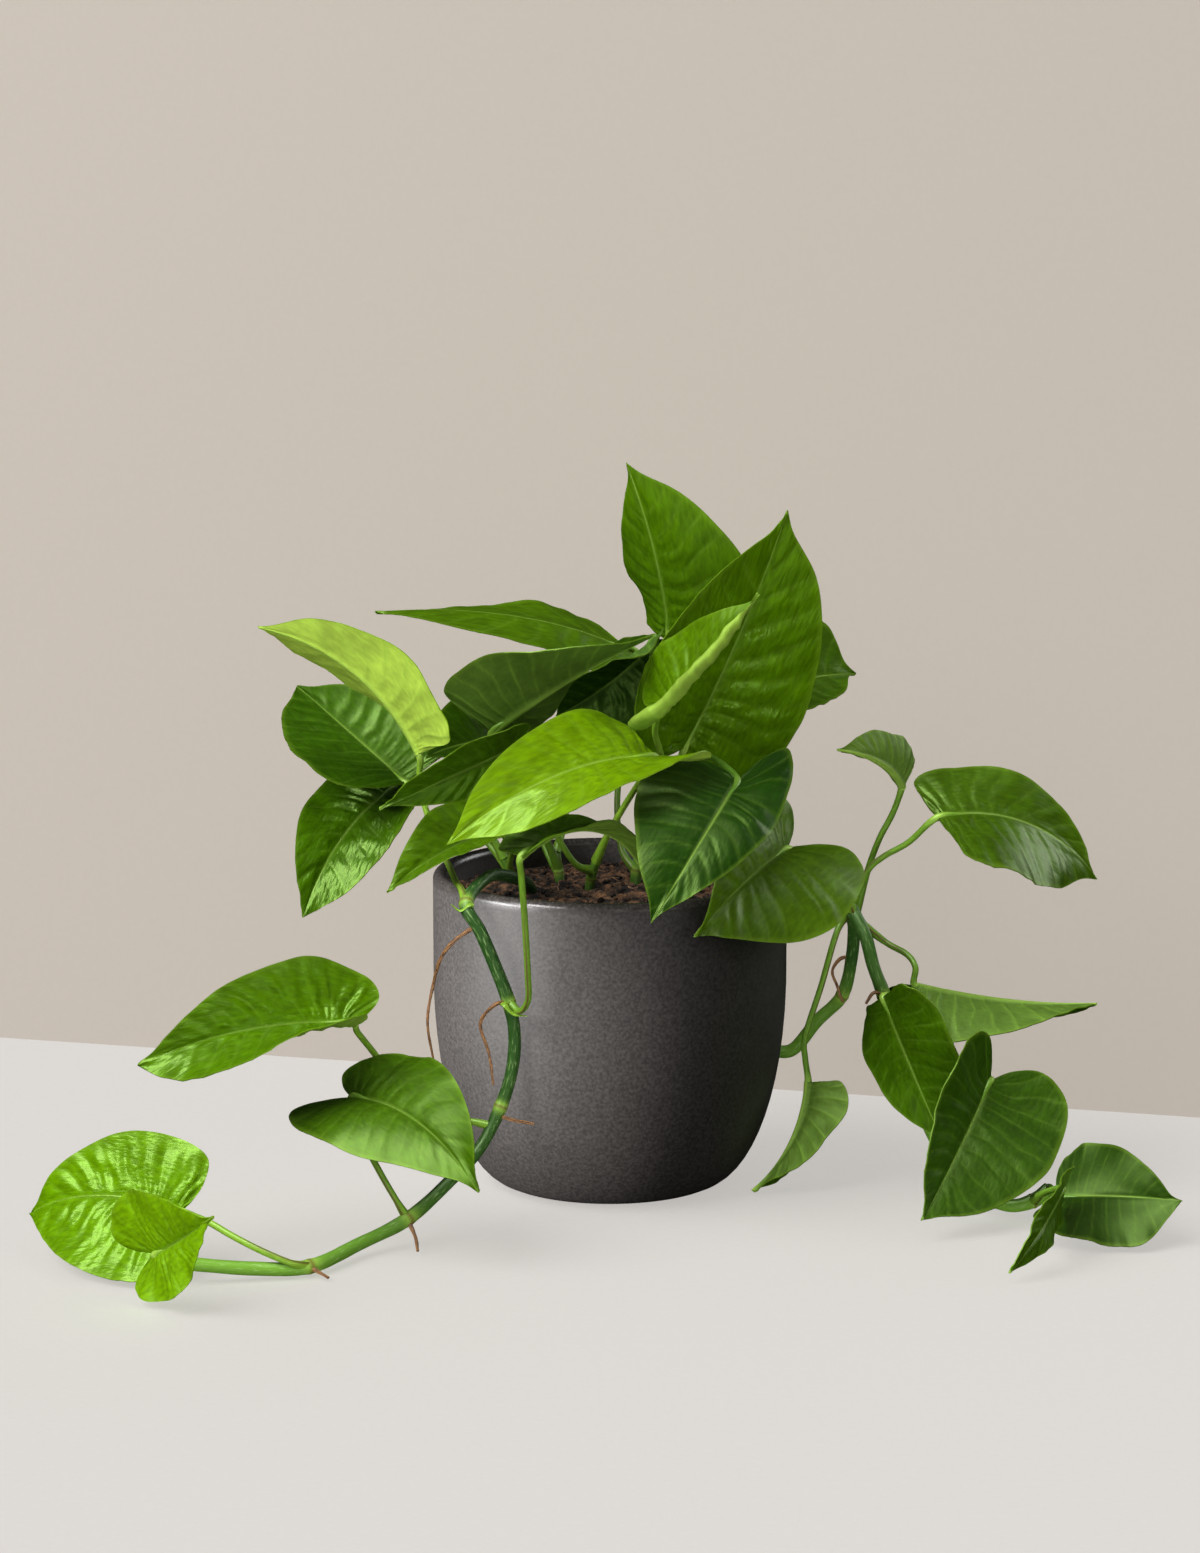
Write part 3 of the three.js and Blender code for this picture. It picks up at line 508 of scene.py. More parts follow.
def glaze_material(colours):
    """Stoneware under a matt speckled glaze, thrown and fired: the eye sees a soft sheen, fine
    dark and light specks of iron in the glaze, and a slightly pebbled skin."""
    made, tree = new_material("matt_speckled_stoneware_glaze")
    place = add_node(tree, "ShaderNodeTexCoord").outputs["Object"]
    # Specks are about 1 mm across, with finer ones among them
    specks = add_node(tree, "ShaderNodeTexNoise", None,
                      {"Vector": place, "Scale": 820, "Detail": 3, "Roughness": 0.6})
    clouds = add_node(tree, "ShaderNodeTexNoise", None,
                      {"Vector": place, "Scale": 26, "Detail": 2})
    speckled = add_node(tree, "ShaderNodeMapRange", None,
                        {"Value": specks.outputs["Fac"], "From Min": 0.36, "From Max": 0.66,
                         "To Min": 0.66, "To Max": 1.36})
    clouded = add_node(tree, "ShaderNodeMapRange", None,
                       {"Value": clouds.outputs["Fac"], "From Min": 0.3, "From Max": 0.7,
                        "To Min": 0.9, "To Max": 1.1})
    both = add_node(tree, "ShaderNodeMath", {"operation": "MULTIPLY"},
                    {0: speckled.outputs[0], 1: clouded.outputs[0]})
    colour = add_node(tree, "ShaderNodeVectorMath", {"operation": "SCALE"},
                      {0: tuple(colours.glaze), "Scale": both.outputs[0]})
    skin = add_node(tree, "ShaderNodeBump", None,
                    {"Strength": 0.35, "Distance": 0.0002, "Height": specks.outputs["Fac"]})
    # The lip was wiped smooth before the firing, so that it shines more than the body
    height = add_node(tree, "ShaderNodeSeparateXYZ", None, {0: place}).outputs["Z"]
    lip = add_node(tree, "ShaderNodeMapRange", None,
                   {"Value": height, "From Min": 0.1115, "From Max": 0.1145, "To Min": 1,
                    "To Max": 0.45})
    body = add_node(tree, "ShaderNodeMapRange", None,
                    {"Value": specks.outputs["Fac"], "To Min": 0.5, "To Max": 0.68})
    rough = add_node(tree, "ShaderNodeMath", {"operation": "MULTIPLY"},
                     {0: body.outputs[0], 1: lip.outputs[0]})
    shader = add_node(tree, "ShaderNodeBsdfPrincipled", None,
                      {"Base Color": colour.outputs[0], "Roughness": rough.outputs[0],
                       "IOR": 1.5, "Normal": skin.outputs[0]})
    add_node(tree, "ShaderNodeOutputMaterial", None, {"Surface": shader.outputs[0]})
    return made


def soil_material(colours):
    """Damp peat potting mix: dull, with red-brown and tan grains and near-black patches of painted
    shade.
    """
    made, tree = new_material("damp_peat_potting_mix")
    place = add_node(tree, "ShaderNodeTexCoord").outputs["Object"]
    # Grains are about 1 mm across and patches about 4 mm
    grains = add_node(tree, "ShaderNodeTexVoronoi", None, {"Vector": place, "Scale": 900})
    patches = add_node(tree, "ShaderNodeTexNoise", None,
                       {"Vector": place, "Scale": 240, "Detail": 4})
    ramp = add_node(tree, "ShaderNodeValToRGB", None, {"Fac": patches.outputs["Fac"]})
    stops = ramp.color_ramp.elements
    tan = [share * c for share, c in zip((3.4, 3.2, 3), colours.soil)]
    # The near-black first stop is painted shade, standing in for the hollows between grains
    stops[0].position, stops[0].color = 0.4, opaque([0.12 * c for c in colours.soil])
    stops[1].position, stops[1].color = 0.64, opaque(tan)
    stops.new(0.5).color = opaque(colours.soil)
    skin = add_node(tree, "ShaderNodeBump", None,
                    {"Strength": 0.8, "Distance": 0.0004, "Height": grains.outputs["Distance"]})
    shader = add_node(tree, "ShaderNodeBsdfPrincipled", None,
                      {"Base Color": ramp.outputs["Color"], "Roughness": 0.9,
                       "Specular IOR Level": 0.2, "Normal": skin.outputs[0]})
    add_node(tree, "ShaderNodeOutputMaterial", None, {"Surface": shader.outputs[0]})
    return made


def stem_material(colours):
    """Living stem with a waxy skin: deep green with pale lengthwise flecks, lighter and yellower
    towards the growing tip, and a pale ring with a brown scar at each node."""
    made, tree = new_material("waxy_pothos_stem")
    look = add_node(tree, "ShaderNodeAttribute", {"attribute_name": "stem_look"})
    young, ring, scar = add_node(tree, "ShaderNodeSeparateXYZ", None,
                                 {0: look.outputs["Vector"]}).outputs
    # Flecks are about 0.5 mm wide and 3.5 mm long
    flow = add_node(tree, "ShaderNodeAttribute", {"attribute_name": "stem_flow"})
    streaks = add_node(tree, "ShaderNodeTexNoise", None,
                       {"Vector": flow.outputs["Vector"], "Scale": 1, "Detail": 3})
    flecks = add_node(tree, "ShaderNodeMapRange", None,
                      {"Value": streaks.outputs["Fac"], "From Min": 0.56, "From Max": 0.7})
    light = add_node(tree, "ShaderNodeMath", {"operation": "MULTIPLY"},
                     {0: flecks.outputs[0], 1: 0.45})
    colour = opaque(colours.stem)
    for share, other in ((young, "#6d9c2c"), (light.outputs[0], "#8fae6a"), (ring, "#7fa53a"),
                         (scar, "#5a3f22")):
        colour = add_node(tree, "ShaderNodeMix", {"data_type": "RGBA"},
                          {0: share, 6: colour, 7: opaque(linear(other))}).outputs[2]
    skin = add_node(tree, "ShaderNodeBump", None,
                    {"Strength": 0.3, "Distance": 0.0003, "Height": streaks.outputs["Fac"]})
    shader = add_node(tree, "ShaderNodeBsdfPrincipled", None,
                      {"Base Color": colour, "Roughness": 0.42, "IOR": 1.45,
                       "Specular Tint": STEM_SHINE, "Normal": skin.outputs[0]})
    add_node(tree, "ShaderNodeOutputMaterial", None, {"Surface": shader.outputs[0]})
    return made


def stalk_material():
    """Living leaf stalk: light green, waxy, paler towards the knee, with the dry brown margin of
    its sheath."""
    made, tree = new_material("waxy_leaf_stalk")
    look = add_node(tree, "ShaderNodeAttribute", {"attribute_name": "stem_look"})
    young, knee, dry = add_node(tree, "ShaderNodeSeparateXYZ", None,
                                {0: look.outputs["Vector"]}).outputs
    flow = add_node(tree, "ShaderNodeAttribute", {"attribute_name": "stem_flow"})
    streaks = add_node(tree, "ShaderNodeTexNoise", None,
                       {"Vector": flow.outputs["Vector"], "Scale": 1, "Detail": 2})
    # The older the leaf, the darker its stalk's green: partly its own colour, partly painted shade
    green = add_node(tree, "ShaderNodeMix", {"data_type": "RGBA"},
                     {0: young, 6: opaque(linear("#3f6517")), 7: opaque(linear("#7a9f2c"))})
    kneed = add_node(tree, "ShaderNodeMix", {"data_type": "RGBA"},
                     {0: knee, 6: green.outputs[2], 7: opaque(linear("#9dc04e"))})
    streaked = add_node(tree, "ShaderNodeMapRange", None,
                        {"Value": streaks.outputs["Fac"], "From Min": 0.3, "From Max": 0.7,
                         "To Min": 0.8, "To Max": 1.2})
    toned = add_node(tree, "ShaderNodeVectorMath", {"operation": "SCALE"},
                     {0: kneed.outputs[2], "Scale": streaked.outputs[0]})
    dried = add_node(tree, "ShaderNodeMix", {"data_type": "RGBA"},
                     {0: dry, 6: toned.outputs[0], 7: opaque(linear("#4a3020"))})
    shader = add_node(tree, "ShaderNodeBsdfPrincipled", None,
                      {"Base Color": dried.outputs[2], "Roughness": 0.4, "IOR": 1.45,
                       "Specular Tint": STEM_SHINE})
    add_node(tree, "ShaderNodeOutputMaterial", None, {"Surface": shader.outputs[0]})
    return made


def root_material():
    """Dry aerial root: corky, matt brown, wrinkled along its length."""
    made, tree = new_material("corky_aerial_root")
    flow = add_node(tree, "ShaderNodeAttribute", {"attribute_name": "stem_flow"})
    wrinkles = add_node(tree, "ShaderNodeTexNoise", None,
                        {"Vector": flow.outputs["Vector"], "Scale": 1.6, "Detail": 4})
    ramp = add_node(tree, "ShaderNodeValToRGB", None, {"Fac": wrinkles.outputs["Fac"]})
    stops = ramp.color_ramp.elements
    stops[0].position, stops[0].color = 0.35, opaque(linear("#3f2815"))
    stops[1].position, stops[1].color = 0.68, opaque(linear("#94683a"))
    skin = add_node(tree, "ShaderNodeBump", None,
                    {"Strength": 0.5, "Distance": 0.0003, "Height": wrinkles.outputs["Fac"]})
    shader = add_node(tree, "ShaderNodeBsdfPrincipled", None,
                      {"Base Color": ramp.outputs["Color"], "Roughness": 0.75,
                       "Normal": skin.outputs[0]})
    add_node(tree, "ShaderNodeOutputMaterial", None, {"Surface": shader.outputs[0]})
    return made


def leaf_material(colours, upper):
    """Living pothos leaf. Its upper face has a waxy cuticle with a soft wide sheen and fine cells;
    its lower face is paler, greyer and nearly matt. Light shines through both."""
    made, tree = new_material("waxy_leaf_upper_face" if upper else "matt_leaf_lower_face")
    blade = add_node(tree, "ShaderNodeAttribute", {"attribute_name": "blade"})
    midrib, vein, margin = add_node(tree, "ShaderNodeSeparateXYZ", None,
                                    {0: blade.outputs["Vector"]}).outputs
    tone = add_node(tree, "ShaderNodeAttribute", {"attribute_name": "leaf_tone"})
    age, warm, gloss = add_node(tree, "ShaderNodeSeparateXYZ", None,
                                {0: tone.outputs["Vector"]}).outputs
    green = add_node(tree, "ShaderNodeMix", {"data_type": "RGBA"},
                     {0: age, 6: opaque(colours.leaf_young), 7: opaque(colours.leaf_grown)})
    # Warm greens lean to olive
    body = add_node(tree, "ShaderNodeMix", {"data_type": "RGBA", "blend_type": "MULTIPLY"},
                    {0: warm, 6: green.outputs[2], 7: (1.3, 0.95, 0.4, 1)})
    if not upper:
        # The lower face is a paler yellow green, most so on a young leaf
        share = add_node(tree, "ShaderNodeMapRange", None,
                         {"Value": age, "To Min": 0.8, "To Max": 0.4})
        paler = add_node(tree, "ShaderNodeMix", {"data_type": "RGBA"},
                         {0: age, 6: opaque(linear("#adc94e")), 7: opaque(linear("#5a7a30"))})
        body = add_node(tree, "ShaderNodeMix", {"data_type": "RGBA"},
                        {0: share.outputs[0], 6: body.outputs[2], 7: paler.outputs[2]})
    # Wrinkles 1 to 3 mm apart lie between the side veins, with painted light on their crests
    place = add_node(tree, "ShaderNodeTexCoord").outputs["Object"]
    mottle = add_node(tree, "ShaderNodeTexNoise", None,
                      {"Vector": place, "Scale": 110, "Detail": 3})
    mottled = add_node(tree, "ShaderNodeMapRange", None,
                       {"Value": mottle.outputs["Fac"], "From Min": 0.3, "From Max": 0.7,
                        "To Min": 0.84, "To Max": 1.16})
    flow = add_node(tree, "ShaderNodeAttribute", {"attribute_name": "skin"})
    ridges = add_node(tree, "ShaderNodeTexNoise", None,
                      {"Vector": flow.outputs["Vector"], "Scale": 2.4, "Detail": 2})
    # The colour gets painted light on the wrinkles' crests and painted shade in their creases
    painted_crest_light_and_shade = add_node(tree, "ShaderNodeMapRange", None,
                      {"Value": ridges.outputs["Fac"], "From Min": 0.32, "From Max": 0.68,
                       "To Min": 0.8 if upper else 0.9, "To Max": 1.2 if upper else 1.1})
    both = add_node(tree, "ShaderNodeMath", {"operation": "MULTIPLY"},
                    {0: mottled.outputs[0], 1: painted_crest_light_and_shade.outputs[0]})
    colour = add_node(tree, "ShaderNodeVectorMath", {"operation": "SCALE"},
                      {0: body.outputs[2], "Scale": both.outputs[0]}).outputs[0]
    for line, strength, pale in ((vein, 0.12 if upper else 0.3, "#86b03c"),
                                 (midrib, 0.4 if upper else 0.8, "#94b84a"),
                                 (margin, 0.22, "#7fa02c")):
        share = add_node(tree, "ShaderNodeMath", {"operation": "MULTIPLY"},
                         {0: line, 1: strength})
        colour = add_node(tree, "ShaderNodeMix", {"data_type": "RGBA"},
                          {0: share.outputs[0], 6: colour, 7: opaque(linear(pale))}).outputs[2]
    # The glossier a leaf, the smoother its wax and the more its skin is wrinkled
    rough = add_node(tree, "ShaderNodeMapRange", None,
                     {"Value": gloss, "To Min": 0.47 if upper else 0.6,
                      "To Max": 0.27 if upper else 0.48})
    wrinkled = add_node(tree, "ShaderNodeMath", {"operation": "MULTIPLY"},
                        {0: ridges.outputs["Fac"], 1: gloss})
    skin = add_node(tree, "ShaderNodeBump", None,
                    {"Strength": 0.9, "Distance": 0.00038, "Height": wrinkled.outputs[0]})
    shader = add_node(tree, "ShaderNodeBsdfPrincipled", None,
                      {"Base Color": colour, "Roughness": rough.outputs[0], "IOR": 1.46,
                       "Specular IOR Level": 0.6, "Specular Tint": LEAF_SHINE,
                       "Normal": skin.outputs[0]})
    lit = add_node(tree, "ShaderNodeVectorMath", {"operation": "MULTIPLY"},
                   {0: colour, 1: (1.7, 1.4, 0.2)})
    through = add_node(tree, "ShaderNodeBsdfTranslucent", None, {"Color": lit.outputs[0]})
    mixed = add_node(tree, "ShaderNodeMixShader", None,
                     {0: 0.16, 1: shader.outputs[0], 2: through.outputs[0]})
    add_node(tree, "ShaderNodeOutputMaterial", None, {"Surface": mixed.outputs[0]})
    return made


def stage_material(name, colour):
    """A plain painted surface: matt, with a trace of roller stipple. It is clear from behind, so
    that the backdrop doesn't hide the plant's back."""
    made, tree = new_material(name)
    place = add_node(tree, "ShaderNodeTexCoord").outputs["Object"]
    stipple = add_node(tree, "ShaderNodeTexNoise", None,
                       {"Vector": place, "Scale": 400, "Detail": 2})
    shadow = add_node(tree, "ShaderNodeMapRange", None,
                      {"Value": stipple.outputs["Fac"], "To Min": 0.98, "To Max": 1.02})
    toned = add_node(tree, "ShaderNodeVectorMath", {"operation": "SCALE"},
                     {0: linear(colour), "Scale": shadow.outputs[0]})
    shader = add_node(tree, "ShaderNodeBsdfPrincipled", None,
                      {"Base Color": toned.outputs[0], "Roughness": 0.85})
    behind = add_node(tree, "ShaderNodeNewGeometry").outputs["Backfacing"]
    clear = add_node(tree, "ShaderNodeBsdfTransparent")
    mixed = add_node(tree, "ShaderNodeMixShader", None,
                     {0: behind, 1: shader.outputs[0], 2: clear.outputs[0]})
    add_node(tree, "ShaderNodeOutputMaterial", None, {"Surface": mixed.outputs[0]})
    return made


def deselect():
    """Leaves nothing selected, so that the next operator acts on its own piece alone."""
    if bpy.context.object and bpy.context.object.mode != "OBJECT":
        bpy.ops.object.mode_set(mode="OBJECT")
    bpy.ops.object.select_all(action="DESELECT")


def in_edit_mode(piece, steps):
    """Runs steps in edit mode with the whole mesh selected."""
    deselect()
    piece.select_set(True)
    bpy.context.view_layer.objects.active = piece
    bpy.ops.object.mode_set(mode="EDIT")
    bpy.ops.mesh.select_all(action="SELECT")
    steps()
    bpy.ops.object.mode_set(mode="OBJECT")


def places_of(piece):
    """The places of a mesh's points as an array."""
    places = np.empty(len(piece.data.vertices) * 3)
    piece.data.vertices.foreach_get("co", places)
    return places.reshape(-1, 3)


def move_points(piece, places):
    """Moves a mesh's points to the given places."""
    piece.data.vertices.foreach_set("co", np.asarray(places, float).ravel())
    piece.data.update()


def note(piece, name, columns):
    """Keeps three numbers for each point of a mesh under a name that materials read."""
    made = piece.data.attributes.get(name)
    made = made or piece.data.attributes.new(name, "FLOAT_VECTOR", "POINT")
    values = np.stack(np.broadcast_arrays(*columns), -1)
    made.data.foreach_set("vector", values.astype(float).ravel())


def kept(piece, name):
    """The numbers kept under a name, as an array."""
    values = np.empty(len(piece.data.vertices) * 3)
    piece.data.attributes[name].data.foreach_get("vector", values)
    return values.reshape(-1, 3)


def finish(piece, name, nodes=()):
    """Scales a piece from millimetres, names it, smooths it and seats it in the part."""
    move_points(piece, places_of(piece) * MM)
    piece.name = piece.data.name = name
    deselect()
    piece.select_set(True)
    bpy.context.view_layer.objects.active = piece
    bpy.ops.object.shade_smooth_by_angle(angle=math.radians(SMOOTH_BELOW))
    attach(piece, "root")
    if nodes:
        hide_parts(*nodes)


def join(pieces):
    """Joins pieces into the first one."""
    deselect()
    for piece in pieces:
        piece.select_set(True)
    bpy.context.view_layer.objects.active = pieces[0]
    bpy.ops.object.join()
    return pieces[0]


def smooth_curve(points, at):
    """Places and directions on a smooth curve through points, at numbers counted in points."""
    points = np.asarray(points, float)
    at = np.clip(np.asarray(at, float), 0, len(points) - 1)
    ends = [2 * points[0] - points[1]], [2 * points[-1] - points[-2]]
    all_points = np.concatenate([ends[0], points, ends[1]])
    first = np.minimum(at.astype(int), len(points) - 2)
    w = (at - first)[:, None]
    a, b, c, d = (all_points[first + k] for k in range(4))
    out, into = (c - a) / 2, (d - b) / 2
    cubic, square = 2 * b - 2 * c + out + into, -3 * b + 3 * c - 2 * out - into
    places = ((cubic * w + square) * w + out) * w + b
    directions = (3 * cubic * w + 2 * square) * w + out
    return places, directions / np.linalg.norm(directions, axis=1)[:, None]


def unit(vectors):
    """Vectors at length one."""
    return vectors / (np.linalg.norm(vectors, axis=-1, keepdims=True) + 1e-12)


def tube(points, radius_at, sides, rings_per_point, look_at=None):
    """A round stem along a smooth curve: a grid rolled up round it, closed at both ends.

    radius_at and look_at get the ring counted in points, the angle in turns and the length in
    millimetres. look_at gives the three numbers that the stem's material reads."""
    count = (len(points) - 1) * rings_per_point
    deselect()
    bpy.ops.mesh.primitive_grid_add(x_subdivisions=sides, y_subdivisions=count + 2, size=2)
    piece = bpy.context.object
    flat = places_of(piece)
    turn = (flat[:, 0] + 1) / 2
    rows = len(np.unique(np.round(flat[:, 1], 6))) - 1
    row = np.round((flat[:, 1] + 1) / 2 * rows).astype(int)
    at = np.clip(np.arange(rows + 1) - 1, 0, rows - 2) * (len(points) - 1) / (rows - 2)
    centres, directions = smooth_curve(points, at)
    lengths = np.concatenate([[0], np.cumsum(np.linalg.norm(np.diff(centres, axis=0), axis=1))])
    # Each ring's first direction is carried on from the last ring's, so that nothing twists
    across = np.array([0.31, 0.95, 0.02])
    frames = []
    for direction in directions:
        across = across - direction * (across @ direction)
        across = across / np.linalg.norm(across)
        frames.append((across, np.cross(direction, across)))
    frames = np.array(frames)
    radius = radius_at(at[row], turn, lengths[row])
    radius = np.where((row == 0) | (row == rows), 0, radius)
    angle = turn * 2 * math.pi
    places = centres[row] + (radius * np.cos(angle))[:, None] * frames[row, 0]
    places += (radius * np.sin(angle))[:, None] * frames[row, 1]
    move_points(piece, places)
    girth = np.median(radius) * 2 * math.pi
    # The skin's map is drawn out lengthwise, for flecks and wrinkles along the stem
    flow = np.cos(angle) * girth / 3, np.sin(angle) * girth / 3, lengths[row] / 3.5
    note(piece, "stem_flow", flow)
    if look_at:
        note(piece, "stem_look", look_at(at[row], turn, lengths[row]))
    in_edit_mode(piece, close_seams)
    return piece


def close_seams():
    """Merges points that lie on each other and turns all faces outwards."""
    bpy.ops.mesh.remove_doubles(threshold=MERGE)
    bpy.ops.mesh.normals_make_consistent(inside=False)


def waver(values, seed):
    """A smooth seeded wander between about -1 and 1 along a number."""
    draw = np.random.default_rng(seed)
    total = np.zeros_like(values, float)
    for k in range(1, WAVER_WAVES + 1):
        total += np.sin(values * k * draw.uniform(0.8, 1.3) + draw.uniform(0, 6.3)) / k
    return total / 1.6


def stem_piece(name, stem):
    """A stem with its swollen, ringed nodes and the aerial roots that grow from it."""
    seed = len(name) * 7

    def nearest(at):
        return np.min([np.abs(at - n) for n in stem["nodes"]], axis=0)

    def radius_at(at, turn, lengths):
        near = nearest(at)
        swell = NODE_SWELL * np.clip(1 - near / 0.5, 0, 1)
        # A raised ring with a groove beside it, and a stem that is neither round nor even
        ring = 0.05 * np.exp(-((near / 0.05) ** 2)) - 0.04 * np.exp(-(((near - 0.12) / 0.04) ** 2))
        bent = 0.025 * waver(lengths / 6, seed) + 0.03 * np.cos(turn * 4 * math.pi + lengths / 30)
        return stem["radius"] * (1 + swell + ring + bent)

    def look_at(at, turn, lengths):
        youth = np.interp(at, *zip(*stem["youth"]))
        near = nearest(at)
        return youth, np.exp(-((near / 0.14) ** 2)), 0.8 * np.exp(-((near / 0.04) ** 2))

    def dressed(path, radius_at, mesh, material, look_at=None):
        made = tube(path, radius_at, *mesh, look_at)
        made.data.materials.append(bpy.data.materials[material])
        return made

    parts = [dressed(stem["path"], radius_at, STEM_MESH, "waxy_pothos_stem", look_at)]
    for number, path in enumerate(stem["roots"]):
        def root_radius(at, turn, lengths):
            knots = 0.12 * waver(lengths / 1.7, number + seed) + 0.1 * np.cos(turn * 6 * math.pi)
            return ROOT_RADIUS * (1 - 0.55 * at / len(path)) * (1 + knots)

        parts.append(dressed(path, root_radius, ROOT_MESH, "corky_aerial_root"))
    for path in stem.get("hooks", ()):
        # The tip of an old sheath curls away from the node
        def hook_radius(at, turn, lengths):
            flat = 1 + 0.4 * np.cos(turn * 4 * math.pi)
            return HOOK_RADIUS * (1 - 0.85 * at / (len(path) - 1)) * flat

        parts.append(dressed(path, hook_radius, HOOK_MESH, "waxy_leaf_stalk",
                             lambda at, turn, lengths: (0.8, 0 * at, 0 * at)))
    finish(join(parts) if len(parts) > 1 else parts[0], name + "_fine", [name])


def midrib_of(leaf):
    """The midrib from the joint to the tip: places, directions, sides, normals and its length."""
    joint, tip = np.array(leaf["base"], float), np.array(leaf["tip"], float)
    chord = tip - joint
    reach = np.linalg.norm(chord)
    along = chord / reach
    faces = np.array(leaf["faces"], float)
    up = unit(faces - along * (faces @ along))
    right = np.cross(along, up)
    share = np.linspace(0, 1, MIDRIB_STEPS + 1)[:, None]
    arch, sway = math.radians(leaf["arch"]), math.radians(leaf["sway"])
    turn = 0.5 - share
    directions = unit(along * np.cos(arch * turn) * np.cos(sway * turn)
                      + right * np.sin(sway * turn) + up * np.sin(arch * turn))
    middles = (directions[1:] + directions[:-1]) / 2
    spread = reach / np.linalg.norm(middles.sum(0))
    places = joint + np.concatenate([np.zeros((1, 3)), np.cumsum(middles, 0) * spread])
    sides = unit(np.cross(directions, up))
    normals = np.cross(sides, directions)
    twist = math.radians(leaf["twist"]) * (share - 0.5)
    turned = sides * np.cos(twist) + normals * np.sin(twist)
    facing = normals * np.cos(twist) - sides * np.sin(twist)
    return places, directions, turned, facing, spread * MIDRIB_STEPS


def half_outline(leaf, half, share):
    """The outline of one half, 0 the left and 1 the right, at shares of its way to the tip."""
    points = []
    for number, (across, along, root) in enumerate(OUTLINE):
        across = across if number < SHOULDER_POINT else across ** leaf["taper"][half]
        across = across * (1 - leaf["drip"]) if number == DRIP_POINT else across
        points.append((across, along * leaf["lobes"][half] if along < 0 else along, root))
    return smooth_curve(points, share * (len(points) - 1))[0]


def from_midrib(leaf, across):
    """How far a place lies from the midrib in millimetres."""
    return np.abs(across) * leaf["width"] / 2 * (1 + np.sign(across) * leaf["lean"])


def blade_places(leaf, across, along, raised=0):
    """Places on the blade from flat ones: across from -1 to 1, along in shares of the length, and
    raised above the blade in millimetres."""
    ribs, directions, sides, normals, length = midrib_of(leaf)
    step = np.clip(along, 0, 1) * MIDRIB_STEPS
    first = np.minimum(step.astype(int), MIDRIB_STEPS - 1)
    mix = (step - first)[:, None]
    places = ribs[first] * (1 - mix) + ribs[first + 1] * mix
    places = places + (np.minimum(along, 0) * length)[:, None] * directions[0]
    side = unit(sides[first] * (1 - mix) + sides[first + 1] * mix)
    normal = unit(normals[first] * (1 - mix) + normals[first + 1] * mix)
    half = from_midrib(leaf, across)
    fold = np.where(across < 0, leaf["fold"][0], leaf["fold"][1])
    slope = np.radians(fold - leaf["camber"] * np.abs(across) / 2)
    phase = leaf["width"] * 0.7 + np.sign(across) * 1.3
    wave = MARGIN_WAVE * across**2 * np.sin(2 * math.pi * MARGIN_WAVES * along + phase)
    places = places + (np.sign(across) * half * np.cos(slope))[:, None] * side
    return places + (half * np.sin(slope) + wave + raised)[:, None] * normal


def rolled_margin(leaf, column, edge):
    """A young blade's margin, still rolled up as it was in the bud: how far across each point
    lies, as a share of its place on the flat blade, and how high it is raised."""
    out = np.abs(column)
    rolls = np.where(column < 0, *(np.array(leaf.get("rolled", (0, 0))) > 0))
    half = np.maximum(from_midrib(leaf, np.sign(column) * edge), 0.01)
    size = np.minimum(np.where(column < 0, *leaf.get("rolled", (0, 0))), 0.3 * half)
    turn = np.clip((out - ROLL_START) / (1 - ROLL_START), 0, 1) * math.radians(ROLL_TURN)
    flat = np.minimum(out / ROLL_START, 1) * (half - size)
    place = (flat + size * np.sin(turn)) / half
    share = np.where(rolls & (out > 0), place / np.maximum(out, 1e-6), 1)
    return share, rolls * size * (1 - np.cos(turn))


def ease(values, low, high):
    """0 below low, 1 above high and a smooth step between."""
    share = np.clip((values - low) / (high - low), 0, 1)
    return share * share * (3 - 2 * share)


def bumps(u, v, seed):
    """Smooth seeded bumps between -1 and 1, about one to each unit of u and v."""
    table = np.random.default_rng(seed).uniform(-1, 1, (64, 64))
    i, j = np.floor(u).astype(int), np.floor(v).astype(int)
    a, b = ease(u - i, 0, 1), ease(v - j, 0, 1)
    near = table[i % 64, j % 64] * (1 - a) + table[(i + 1) % 64, j % 64] * a
    far = table[i % 64, (j + 1) % 64] * (1 - a) + table[(i + 1) % 64, (j + 1) % 64] * a
    return near * (1 - b) + far * b


